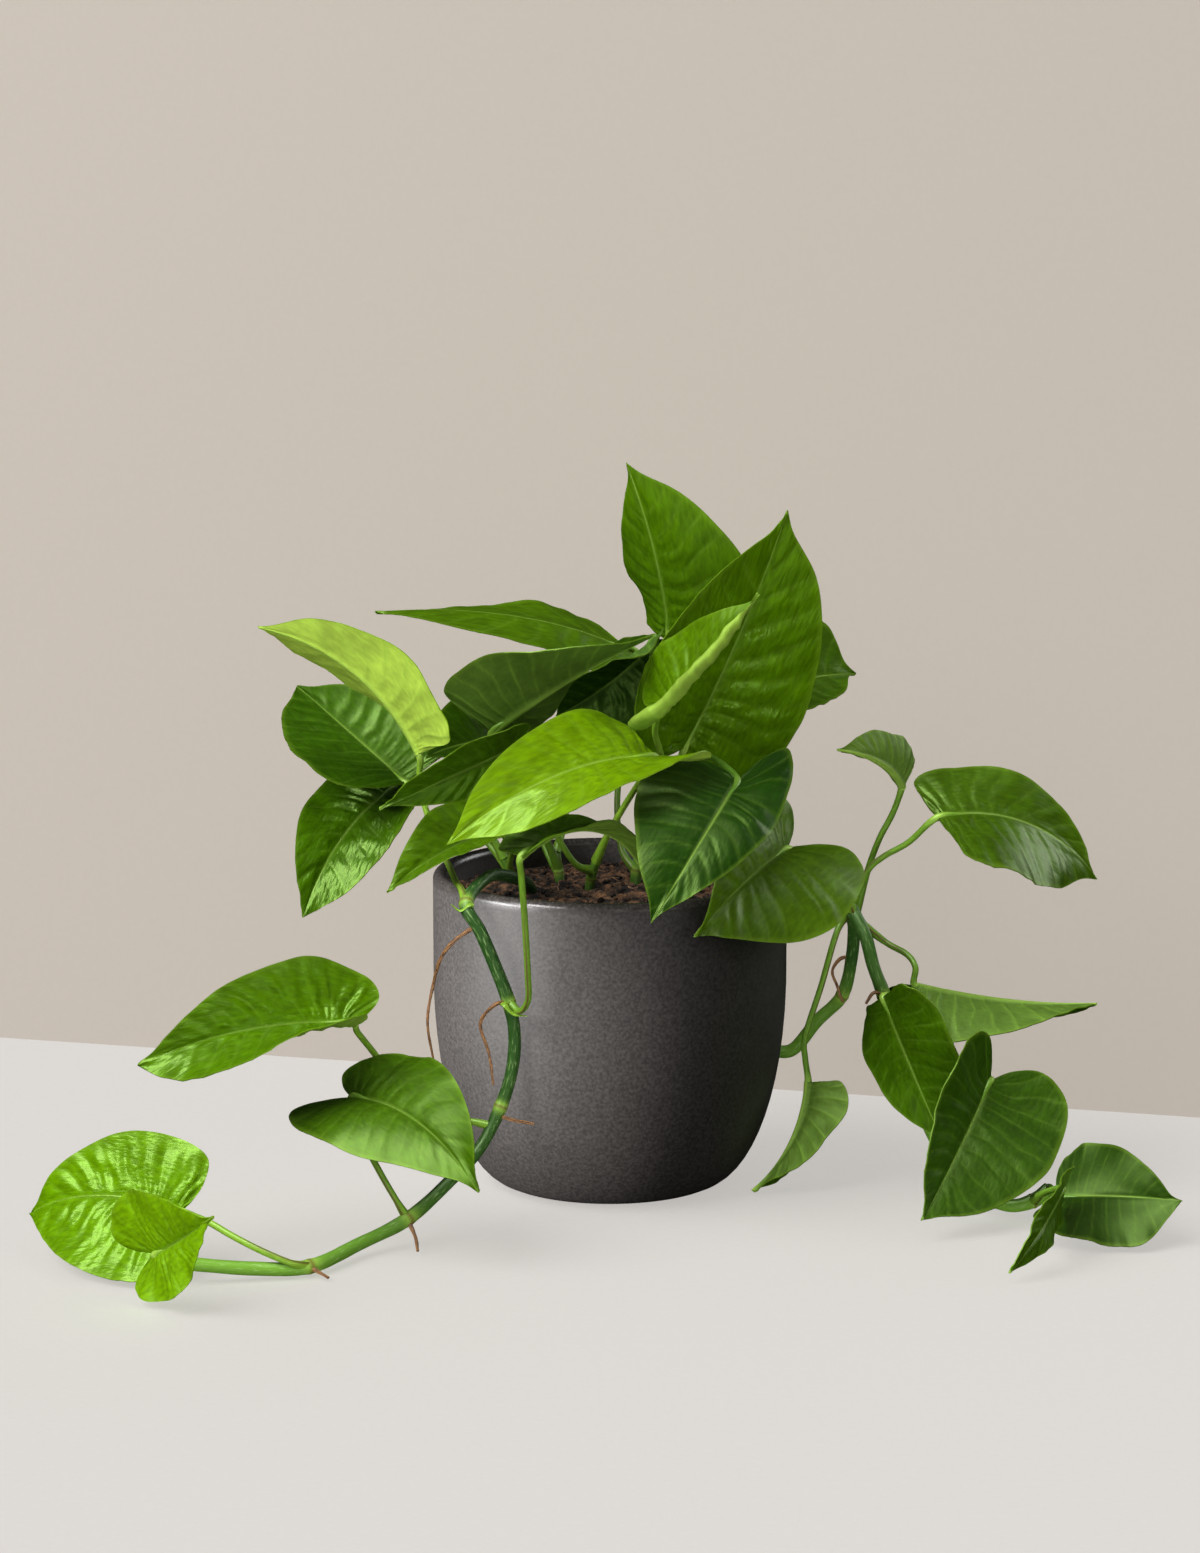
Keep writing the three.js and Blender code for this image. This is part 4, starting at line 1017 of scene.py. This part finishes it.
def leaf_relief(leaf, column, row, across, sizes, seed):
    """How far the skin stands out in millimetres, how near each point is to a side vein, and a
    map of the skin along and across its side veins.

    The skin is quilted: it puffs up in long uneven ridges between the side veins, which lie in
    creases, and is smooth along the midrib and the margin."""
    draw = np.random.default_rng(seed)
    out, off = np.abs(column), from_midrib(leaf, across)
    side = np.where(column < 0, 0, 20)
    root = half_outline(leaf, 0, row)[:, 2]
    phase = sizes.side_veins * np.maximum(root, 0) ** VEIN_CROWDING
    phase = phase + np.where(column < 0, *draw.uniform(size=2))
    phase = phase + 0.3 * bumps(row * 9, off / 9 + side, seed + 50)
    near = np.abs(phase % 1 - 0.5) * 2
    strength = ease(off, 0.6, 4) * (1 - 0.75 * ease(out, 0.75, 1))
    strength = strength * (1 - ease(row, 0.84, 0.97))
    patches = 0.55 + 0.45 * bumps(row * 6, off / 12 + side, seed + 60)
    ridges = bumps(phase * 2.3, off / 7 + side, seed) + 0.55 * bumps(phase * 4.1, off / 4, seed + 9)
    height = leaf["quilt"] * strength * (0.7 * (0.5 - near**2) + patches * ridges)
    rolling = bumps(row * 5, column * 1.5 + 7, seed + 30)
    ripple = bumps(row * 26, side, seed + 40) * out**5 * ease(row, 0.1, 0.3)
    height = height + ROLLING_HEIGHT * rolling * ease(out, 0, 0.4) + RIPPLE_HEIGHT * ripple
    fine = np.abs((2.4 * phase) % 1 - 0.5) * 2
    near_vein = np.maximum(near**10, 0.35 * fine**12) * ease(off, 0.3, 1.5)
    return height, near_vein, (phase, off / 3.2 + side, row * 4)


def blade_piece(leaf, sizes, seed):
    """A blade: a grid shaped to the leaf, given its thickness, then its veins and thin margin."""
    deselect()
    bpy.ops.mesh.primitive_grid_add(x_subdivisions=BLADE_MESH[0], y_subdivisions=BLADE_MESH[1],
                                    size=2)
    piece = bpy.context.object
    flat = places_of(piece)
    column = np.sign(flat[:, 0]) * np.abs(flat[:, 0]) ** COLUMN_CROWDING
    row = (flat[:, 1] + 1) / 2
    left, right = half_outline(leaf, 0, row), half_outline(leaf, 1, row)
    edge = np.where(column[:, None] < 0, left, right)
    share, raised = rolled_margin(leaf, column, edge[:, 0])
    across = edge[:, 0] * column * share
    along = edge[:, 2] + (edge[:, 1] - edge[:, 2]) * np.abs(column) ** VEIN_SWEEP
    move_points(piece, blade_places(leaf, across, along, raised))
    note(piece, "sheet", (column, row, across))
    in_edit_mode(piece, lambda: bpy.ops.mesh.remove_doubles(threshold=MERGE))

    upper = len(piece.data.vertices)
    solidify = piece.modifiers.new("thickness", "SOLIDIFY")
    solidify.thickness = sizes.blade_thickness / MM
    solidify.offset = 0
    solidify.material_offset = 1
    for name in ("waxy_leaf_upper_face", "matt_leaf_lower_face", "waxy_leaf_stalk"):
        piece.data.materials.append(bpy.data.materials[name])
    bpy.ops.object.modifier_apply(modifier="thickness")

    places = places_of(piece)
    top, under = places[:upper], places[upper:]
    column, row, across = kept(piece, "sheet")[:upper].T
    middle, outward = (top + under) / 2, unit(top - under)
    thin = 1 - MARGIN_THINNING * ease(np.abs(column), 0.3, 1)
    half = np.linalg.norm(top - under, axis=1) / 2 * thin
    height, near_vein, skin = leaf_relief(leaf, column, row, across, sizes, seed)
    off = from_midrib(leaf, across)
    fade = 1 - ease(row, 0.5, 1)
    groove = -GROOVE_DEPTH * np.exp(-((off / GROOVE_WIDTH) ** 2)) * (1 - ease(row, 0.7, 1))
    keel = (0.25 + 0.75 * fade) * np.clip(1 - (off / (0.5 + fade)) ** 2, 0, 1)
    keel = keel * (1 - ease(row, 0.92, 1))
    lift = (height + groove)[:, None] * outward
    top = middle + outward * half[:, None] + lift
    low = KEEL_HEIGHT * keel + VEIN_HEIGHT * near_vein
    under = middle - outward * half[:, None] + lift - outward * low[:, None]
    move_points(piece, np.concatenate([top, under]))
    rib = np.exp(-((off / (0.25 + 0.35 * fade)) ** 2))
    margin = ease(np.abs(column), 0.965, 1)
    twice = [np.concatenate([v, v]) for v in (rib, near_vein, margin)]
    note(piece, "blade", twice)
    note(piece, "skin", [np.concatenate([v, v]) for v in skin])
    return piece


def leaf_piece(name, leaf, sizes, seed):
    """A leaf: its blade, and its stalk with a sheath at the stem and a knee at the blade."""
    stem, point = leaf["grows"]
    start = smooth_curve(STEMS[stem]["path"], [point])[0][0]
    ribs, _, _, normals, _ = midrib_of(leaf)
    reach = round(KEEL_REACH * MIDRIB_STEPS)
    keel = ribs[reach] - normals[reach] * sizes.blade_thickness / MM / 2
    points = [start, *leaf["stalk"], leaf["base"], keel]
    knee = len(leaf["stalk"]) + 1
    side, scar_share = leaf.get("scar", (np.random.default_rng(seed).uniform(), SHEATH_SHARE))

    def dry_edge(turn):
        return np.exp(-(((turn - side + 0.5) % 1 - 0.5) / WING_WIDTH) ** 2)

    def radius_at(at, turn, lengths):
        sheath = np.clip(1 - at, 0, 1)
        swell = np.clip(1 - (knee - at) * 2, 0, 1)
        radius = STALK_RADIUS + (SHEATH_RADIUS - STALK_RADIUS) * sheath
        radius = radius + (KNEE_RADIUS - STALK_RADIUS) * swell
        after = np.clip(at - knee, 0, 1)
        radius = np.where(at > knee, KNEE_RADIUS - (KNEE_RADIUS - KEEL_RADIUS) * after, radius)
        fade = np.clip(1 - at / (scar_share * knee), 0, 1)
        return radius * (1 + WING_RISE * dry_edge(turn) * fade)

    def look_at(at, turn, lengths):
        # An old leaf's stalk is darker, partly its own colour and partly painted shade
        young = 0.1 + 0.75 * (1 - leaf["age"])
        swell = np.clip(1 - np.abs(knee - at) * 2.2, 0, 1) * (1 - 0.8 * leaf["age"])
        return young, swell, dry_edge(turn) * np.clip(3 - 3 * at / (scar_share * knee), 0, 1)

    blade = blade_piece(leaf, sizes, seed)
    stalk = tube(points, radius_at, *STALK_MESH, look_at)
    stalk.data.materials.append(bpy.data.materials["waxy_leaf_stalk"])
    piece = join([blade, stalk])
    # Greens darken fast at first, as a lime leaf grows up
    grown = 1 - (1 - leaf["age"]) ** DARKENING
    tones = np.full(len(piece.data.vertices), grown), leaf["warm"], leaf["quilt"]
    note(piece, "leaf_tone", tones)
    finish(piece, name + "_fine", [name])


class POTHOS_OT_pot(bpy.types.Operator):
    """Models the pot: a profile spun into a round body with a rolled rim."""

    bl_idname = "pothos.pot"
    bl_label = "Pot"

    def execute(self, context):
        sizes, colours = context.scene.pothos_sizes, context.scene.pothos_colours
        radius, height = sizes.pot_radius / MM, sizes.pot_height / MM
        wall = sizes.pot_wall / MM
        lip = wall / 2
        inner, inner_foot = radius - wall, FOOT_RADIUS - wall
        round_off = lip * CIRCLE_HANDLE
        # Each point of the profile with its handle before and after: the foot, the belly, the
        # rim's half round, and the inside down to the floor
        profile = [
            ((0, 0),) * 3,
            ((FOOT_RADIUS - FOOT_BEVEL, 0),) * 3,
            ((FOOT_RADIUS, 0), (FOOT_RADIUS - 1, 0), (FOOT_RADIUS + FOOT_PULL, 0)),
            ((radius, BELLY_TOP), (radius - BELLY_LEAN, BELLY_PULL),
             (radius, BELLY_TOP + TOP_PULL)),
            ((radius, height - lip), (radius, height - RIM_PULL),
             (radius, height - lip + round_off)),
            ((radius - lip, height), (radius - lip + round_off, height),
             (radius - lip - round_off, height)),
            ((inner, height - lip), (inner, height - lip + round_off), (inner, height - RIM_PULL)),
            ((inner, BELLY_TOP), (inner, BELLY_TOP + TOP_PULL),
             (inner - BELLY_LEAN, POT_FLOOR + BELLY_PULL)),
            ((inner_foot, POT_FLOOR), (inner_foot + FOOT_PULL, POT_FLOOR), (inner_foot, POT_FLOOR)),
            ((0, POT_FLOOR),) * 3,
        ]
        deselect()
        bpy.ops.curve.primitive_bezier_curve_add(location=(0, 0, 0))
        piece = context.object
        spline = piece.data.splines[0]
        spline.bezier_points.add(len(profile) - 2)
        piece.data.dimensions = "3D"
        piece.data.resolution_u = RIM_STEPS
        for point, (at, before, after) in zip(spline.bezier_points, profile):
            point.handle_left_type = point.handle_right_type = "FREE"
            point.co = (at[0], 0, at[1])
            point.handle_left = (before[0], 0, before[1])
            point.handle_right = (after[0], 0, after[1])
        bpy.ops.object.convert(target="MESH")

        def turn_body():
            bpy.ops.mesh.spin(steps=POT_STEPS, angle=2 * math.pi, center=(0, 0, 0),
                              axis=(0, 0, 1))
            bpy.ops.mesh.select_all(action="SELECT")
            bpy.ops.mesh.remove_doubles(threshold=0.01)
            bpy.ops.mesh.normals_make_consistent(inside=False)

        in_edit_mode(piece, turn_body)
        piece.data.materials.append(glaze_material(colours))
        finish(piece, "pot_fine", ["pot"])
        return {"FINISHED"}


def soil_height(x, y, edge, level):
    """The soil's surface: slightly mounded, rolling and crumbly."""
    share = np.clip(np.hypot(x, y) / edge, 0, 1)
    rolling = 0.9 * np.sin(x / 5.1) * np.cos(y / 4.3) + 0.6 * np.sin(x / 2.7 + y / 3.4)
    inside = ease(1 - share, 0, 0.2)
    return level + SOIL_MOUND * (1 - share**2) + rolling * inside


def soil_body(sizes, edge, level, draw):
    """The soil from its lumpy surface down to the pot's floor."""
    deselect()
    bpy.ops.mesh.primitive_grid_add(x_subdivisions=SOIL_GRID, y_subdivisions=SOIL_GRID, size=2)
    piece = bpy.context.object
    flat = places_of(piece)
    u, v = flat[:, 0], flat[:, 1]
    # The square grid is drawn in to a disc
    x, y = edge * u * np.sqrt(1 - v * v / 2), edge * v * np.sqrt(1 - u * u / 2)
    z = soil_height(x, y, edge, level)
    share = np.hypot(x, y) / edge
    lumps = np.zeros_like(x)
    for size, rise in SOIL_LUMPS:
        a, b, c, d = draw.uniform(0, 6.3, 4)
        lumps += rise * np.sin(x / size + a + 1.3 * np.sin(y / size + b)) * np.sin(
            y / size + c + 1.3 * np.sin(x / size + d))
    z = z + lumps * ease(1 - share, 0, 0.06)
    move_points(piece, np.stack([x, y, z], -1))

    def fill_down():
        bpy.ops.mesh.select_all(action="DESELECT")
        bpy.ops.mesh.select_mode(type="EDGE")
        bpy.ops.mesh.select_non_manifold(use_wire=False, use_multi_face=False,
                                         use_non_contiguous=False, use_verts=False)
        inner_foot = FOOT_RADIUS - sizes.pot_wall / MM - 2 * SOIL_GAP
        low, high = POT_FLOOR + SOIL_GAP, BELLY_TOP
        # The belly's curve on the inside, from its top to the floor
        curve = [(edge, level - 1.5), (edge, high)]
        for t in (0.75, 0.5, 0.3, 0.15, 0.0):
            k = 1 - t
            r = (k**3 * inner_foot + 3 * k * k * t * (inner_foot + FOOT_PULL)
                 + 3 * k * t * t * (edge - BELLY_LEAN) + t**3 * edge)
            h = k**3 * low + 3 * k * k * t * low + 3 * k * t * t * (low + BELLY_PULL)
            curve.append((r, h + t**3 * high))
        was_r, was_z = edge, level
        for r, h in curve:
            bpy.ops.mesh.extrude_edges_move(TRANSFORM_OT_translate={"value": (0, 0, h - was_z)})
            bpy.ops.transform.resize(value=(r / was_r, r / was_r, 1), center_override=(0, 0, h))
            was_r, was_z = r, h
        bpy.ops.mesh.edge_face_add()
        bpy.ops.mesh.select_all(action="SELECT")
        bpy.ops.mesh.normals_make_consistent(inside=False)

    in_edit_mode(piece, fill_down)
    return piece


def on_soil(x, y, edge, level):
    """The soil's height at one place."""
    return float(soil_height(np.array(x), np.array(y), edge, level))


def random_place(reach, draw):
    """A place drawn evenly on a disc."""
    r, a = reach * math.sqrt(draw.uniform()), draw.uniform(0, 2 * math.pi)
    return r * math.cos(a), r * math.sin(a)


def soil_crumbs(count, edge, level, draw):
    """Lumpy crumbs of peat and bark, half sunk in the soil, as one mesh."""
    deselect()
    bpy.ops.mesh.primitive_ico_sphere_add(subdivisions=2, radius=1)
    piece = bpy.context.object
    ball = places_of(piece)
    faces = np.array([list(p.vertices) for p in piece.data.polygons])
    all_places, all_faces = [], []
    for number in range(count):
        size = CRUMB_LEAST + CRUMB_SPREAD * draw.uniform() ** 3
        squash = draw.uniform(0.55, 1.3, 3)
        axes = np.linalg.qr(draw.normal(size=(3, 3)))[0]
        lumpy = 1 + 0.25 * np.sin(ball @ draw.normal(size=3) * 3 + draw.uniform(0, 6))
        shape = (ball * lumpy[:, None] * squash * size) @ axes
        x, y = random_place(edge - 1.2, draw)
        all_faces.append(faces + number * len(ball))
        all_places.append(shape + [x, y, on_soil(x, y, edge, level) + 0.35 * size])
    mesh = bpy.data.meshes.new("crumbs")
    mesh.from_pydata(np.concatenate(all_places).tolist(), [], np.concatenate(all_faces).tolist())
    piece.data = mesh
    return piece


def soil_fibres(count, edge, level, draw):
    """Thin bent fibres that lie on the soil, joined."""
    fibres = []
    material = root_material()
    for _ in range(count):
        x, y = random_place(edge - 4, draw)
        way, length = draw.uniform(0, 2 * math.pi), draw.uniform(3, 11)
        points = []
        for _ in range(4):
            way += draw.normal() * 0.5
            x, y = x + math.cos(way) * length / 3, y + math.sin(way) * length / 3
            pull = min(1, (edge - 1) / max(math.hypot(x, y), 1))
            x, y = x * pull, y * pull
            points.append((x, y, on_soil(x, y, edge, level) + 0.35 + 0.5 * draw.uniform()))
        thick = draw.uniform(0.12, 0.28)
        fibre = tube(points, lambda at, turn, lengths: thick + 0 * at, *FIBRE_MESH)
        fibre.data.materials.append(material)
        fibres.append(fibre)
    return join(fibres)


class POTHOS_OT_soil(bpy.types.Operator):
    """Models the soil: a crumbly surface that fills the pot, with loose crumbs and fibres."""

    bl_idname = "pothos.soil"
    bl_label = "Soil"

    def execute(self, context):
        sizes, colours = context.scene.pothos_sizes, context.scene.pothos_colours
        edge = (sizes.pot_radius - sizes.pot_wall) / MM - SOIL_GAP
        level = sizes.soil_level / MM
        draw = np.random.default_rng(11)
        material = soil_material(colours)
        piece = soil_body(sizes, edge, level, draw)
        piece.data.materials.append(material)
        finish(piece, "soil_fine", ["soil"])
        piece = soil_crumbs(sizes.crumbs, edge, level, draw)
        piece.data.materials.append(material)
        finish(piece, "soil_crumbs")
        finish(soil_fibres(sizes.fibres, edge, level, draw), "soil_fibres")
        return {"FINISHED"}


class POTHOS_OT_stems(bpy.types.Operator):
    """Models the two vines and the four short shoots, with their nodes and aerial roots."""

    bl_idname = "pothos.stems"
    bl_label = "Stems"

    def execute(self, context):
        stem_material(context.scene.pothos_colours)
        stalk_material()
        if "corky_aerial_root" not in bpy.data.materials:
            root_material()
        for name, stem in STEMS.items():
            stem_piece(name, stem)
        return {"FINISHED"}


class POTHOS_OT_leaves(bpy.types.Operator):
    """Models every leaf: quilted blade, keeled midrib, thin margin, and stalk with its sheath."""

    bl_idname = "pothos.leaves"
    bl_label = "Leaves"

    def execute(self, context):
        sizes, colours = context.scene.pothos_sizes, context.scene.pothos_colours
        leaf_material(colours, upper=True)
        leaf_material(colours, upper=False)
        for seed, (name, leaf) in enumerate(LEAVES.items()):
            leaf_piece(name, leaf, sizes, seed)
        return {"FINISHED"}


def gathered(name, pieces):
    """A collection of pieces that a light can be kept to."""
    made = bpy.data.collections.new(name)
    for piece in pieces:
        made.objects.link(piece)
    return made


def floor_place(pixel):
    """The place on the floor that a pixel of the photograph shows, in millimetres."""
    tilt = math.radians(CAMERA_TILT)
    forward = np.array([0, math.cos(tilt), -math.sin(tilt)])
    right = np.array([1.0, 0, 0])
    up = np.cross(right, forward)
    focal = CAMERA_LENS / CAMERA_FRAME * PICTURE[1]
    ray = forward + (pixel[0] - PICTURE[0] / 2) / focal * right
    ray = ray - (pixel[1] - PICTURE[1] / 2) / focal * up
    return np.array(CAMERA_PLACE) - ray * CAMERA_PLACE[2] / ray[2]


def stage_plane(name, corners, material):
    """A plain flat surface of the room. It doesn't shine back on the plant."""
    deselect()
    bpy.ops.mesh.primitive_plane_add(size=1)
    piece = bpy.context.object
    move_points(piece, corners)
    piece.name = name
    piece.data.materials.append(material)
    piece.visible_diffuse = piece.visible_glossy = False
    return piece


def set_light(name, kind, place, size, power, lit, shading):
    """A light that faces the plant. It lights one collection and is shaded by one or by all."""
    lamp = bpy.data.lights.new(name, kind)
    lamp.energy = power
    if kind == "SUN":
        lamp.angle = math.radians(size)
    else:
        lamp.shape, lamp.size = "SQUARE", size
    holder = bpy.data.objects.new(name, lamp)
    bpy.context.scene.collection.objects.link(holder)
    holder.location = place
    away = np.array(place) - np.array(LIGHTS_FACE)
    pitch = math.atan2(math.hypot(away[0], away[1]), away[2])
    holder.rotation_euler = (pitch, 0, math.atan2(away[0], -away[1]))
    holder.visible_diffuse = holder.visible_transmission = not name.endswith("sheen")
    holder.visible_glossy = name not in ("fill_light", "bounce_light")
    holder.light_linking.receiver_collection = lit
    if shading:
        holder.light_linking.blocker_collection = shading


class POTHOS_OT_stage(bpy.types.Operator):
    """Sets the plain floor, the plain backdrop, the soft lights and the camera."""

    bl_idname = "pothos.stage"
    bl_label = "Stage"

    def execute(self, context):
        left, right = (floor_place(pixel) * MM for pixel in FLOOR_EDGE)
        way = (right - left)[:2] / np.linalg.norm((right - left)[:2])
        middle = (left + right)[:2] / 2
        near = STAGE_REACH * np.array([-way[1], way[0]])
        ends = middle - way * STAGE_REACH, middle + way * STAGE_REACH
        floor = stage_plane("floor",
                            [(*c, FLOOR_LEVEL) for c in (*(end - near for end in ends), *ends)],
                            stage_material("pale_floor_paint", "#e1ddd9"))
        backdrop = stage_plane("backdrop",
                               [(*end, z) for z in (FLOOR_LEVEL, STAGE_REACH) for end in ends],
                               stage_material("greige_wall_paint", "#bbb2a8"))

        pieces = [o for o in context.scene.objects if o.type == "MESH"]
        pot = [o for o in pieces if o.name == "pot_fine"]
        plant = [o for o in pieces if o not in (floor, backdrop)]
        groups = {
            "greens": gathered("greens", [o for o in plant if o not in pot]),
            "plant": gathered("plant", plant), "pot": gathered("pot", pot),
            "room": gathered("room", [floor, backdrop]), "wall": gathered("wall", [backdrop]),
            "all": None,
        }
        for name, kind, place, size, power, lit, shading in LIGHTS:
            set_light(name, kind, place, size, power, groups[lit], groups[shading])
        world = bpy.data.worlds.new("soft_room_light")
        world.use_nodes = True
        sky = world.node_tree.nodes["Background"]
        sky.inputs["Color"].default_value = opaque(linear("#e4e0da"))
        sky.inputs["Strength"].default_value = SKY_STRENGTH
        world.cycles_visibility.glossy = False
        context.scene.world = world
        context.scene.view_settings.view_transform = "Standard"

        camera = bpy.data.cameras.new("camera")
        camera.lens, camera.sensor_fit = CAMERA_LENS, "VERTICAL"
        camera.sensor_width = camera.sensor_height = CAMERA_FRAME
        camera.clip_start = 0.01
        holder = bpy.data.objects.new("camera", camera)
        context.scene.collection.objects.link(holder)
        holder.location = [c * MM for c in CAMERA_PLACE]
        holder.rotation_euler = (math.radians(90 - CAMERA_TILT), 0, 0)
        context.scene.camera = holder
        return {"FINISHED"}


class POTHOS_PT_panel(bpy.types.Panel):
    """Lists the sizes, the colours and the steps in the 3D view's sidebar."""

    bl_idname = "POTHOS_PT_panel"
    bl_label = "Pothos"
    bl_space_type = "VIEW_3D"
    bl_region_type = "UI"
    bl_category = "Pothos"

    def draw(self, context):
        for group in (context.scene.pothos_sizes, context.scene.pothos_colours):
            for name in group.__annotations__:
                self.layout.prop(group, name)
        for operator in OPERATORS:
            self.layout.operator(operator.bl_idname)


OPERATORS = (POTHOS_OT_pot, POTHOS_OT_soil, POTHOS_OT_stems, POTHOS_OT_leaves, POTHOS_OT_stage)
CLASSES = (PothosSizes, PothosColours, *OPERATORS, POTHOS_PT_panel)


def register():
    """Adds the classes and the two groups of settings."""
    for made in CLASSES:
        bpy.utils.register_class(made)
    bpy.types.Scene.pothos_sizes = bpy.props.PointerProperty(type=PothosSizes)
    bpy.types.Scene.pothos_colours = bpy.props.PointerProperty(type=PothosColours)


def unregister():
    """Removes what register added."""
    del bpy.types.Scene.pothos_sizes
    del bpy.types.Scene.pothos_colours
    for made in reversed(CLASSES):
        bpy.utils.unregister_class(made)


def main():
    """Runs every step in order."""
    register()
    bpy.ops.pothos.pot()
    bpy.ops.pothos.soil()
    bpy.ops.pothos.stems()
    bpy.ops.pothos.leaves()
    bpy.ops.pothos.stage()


if __name__ == "__main__":
    main()
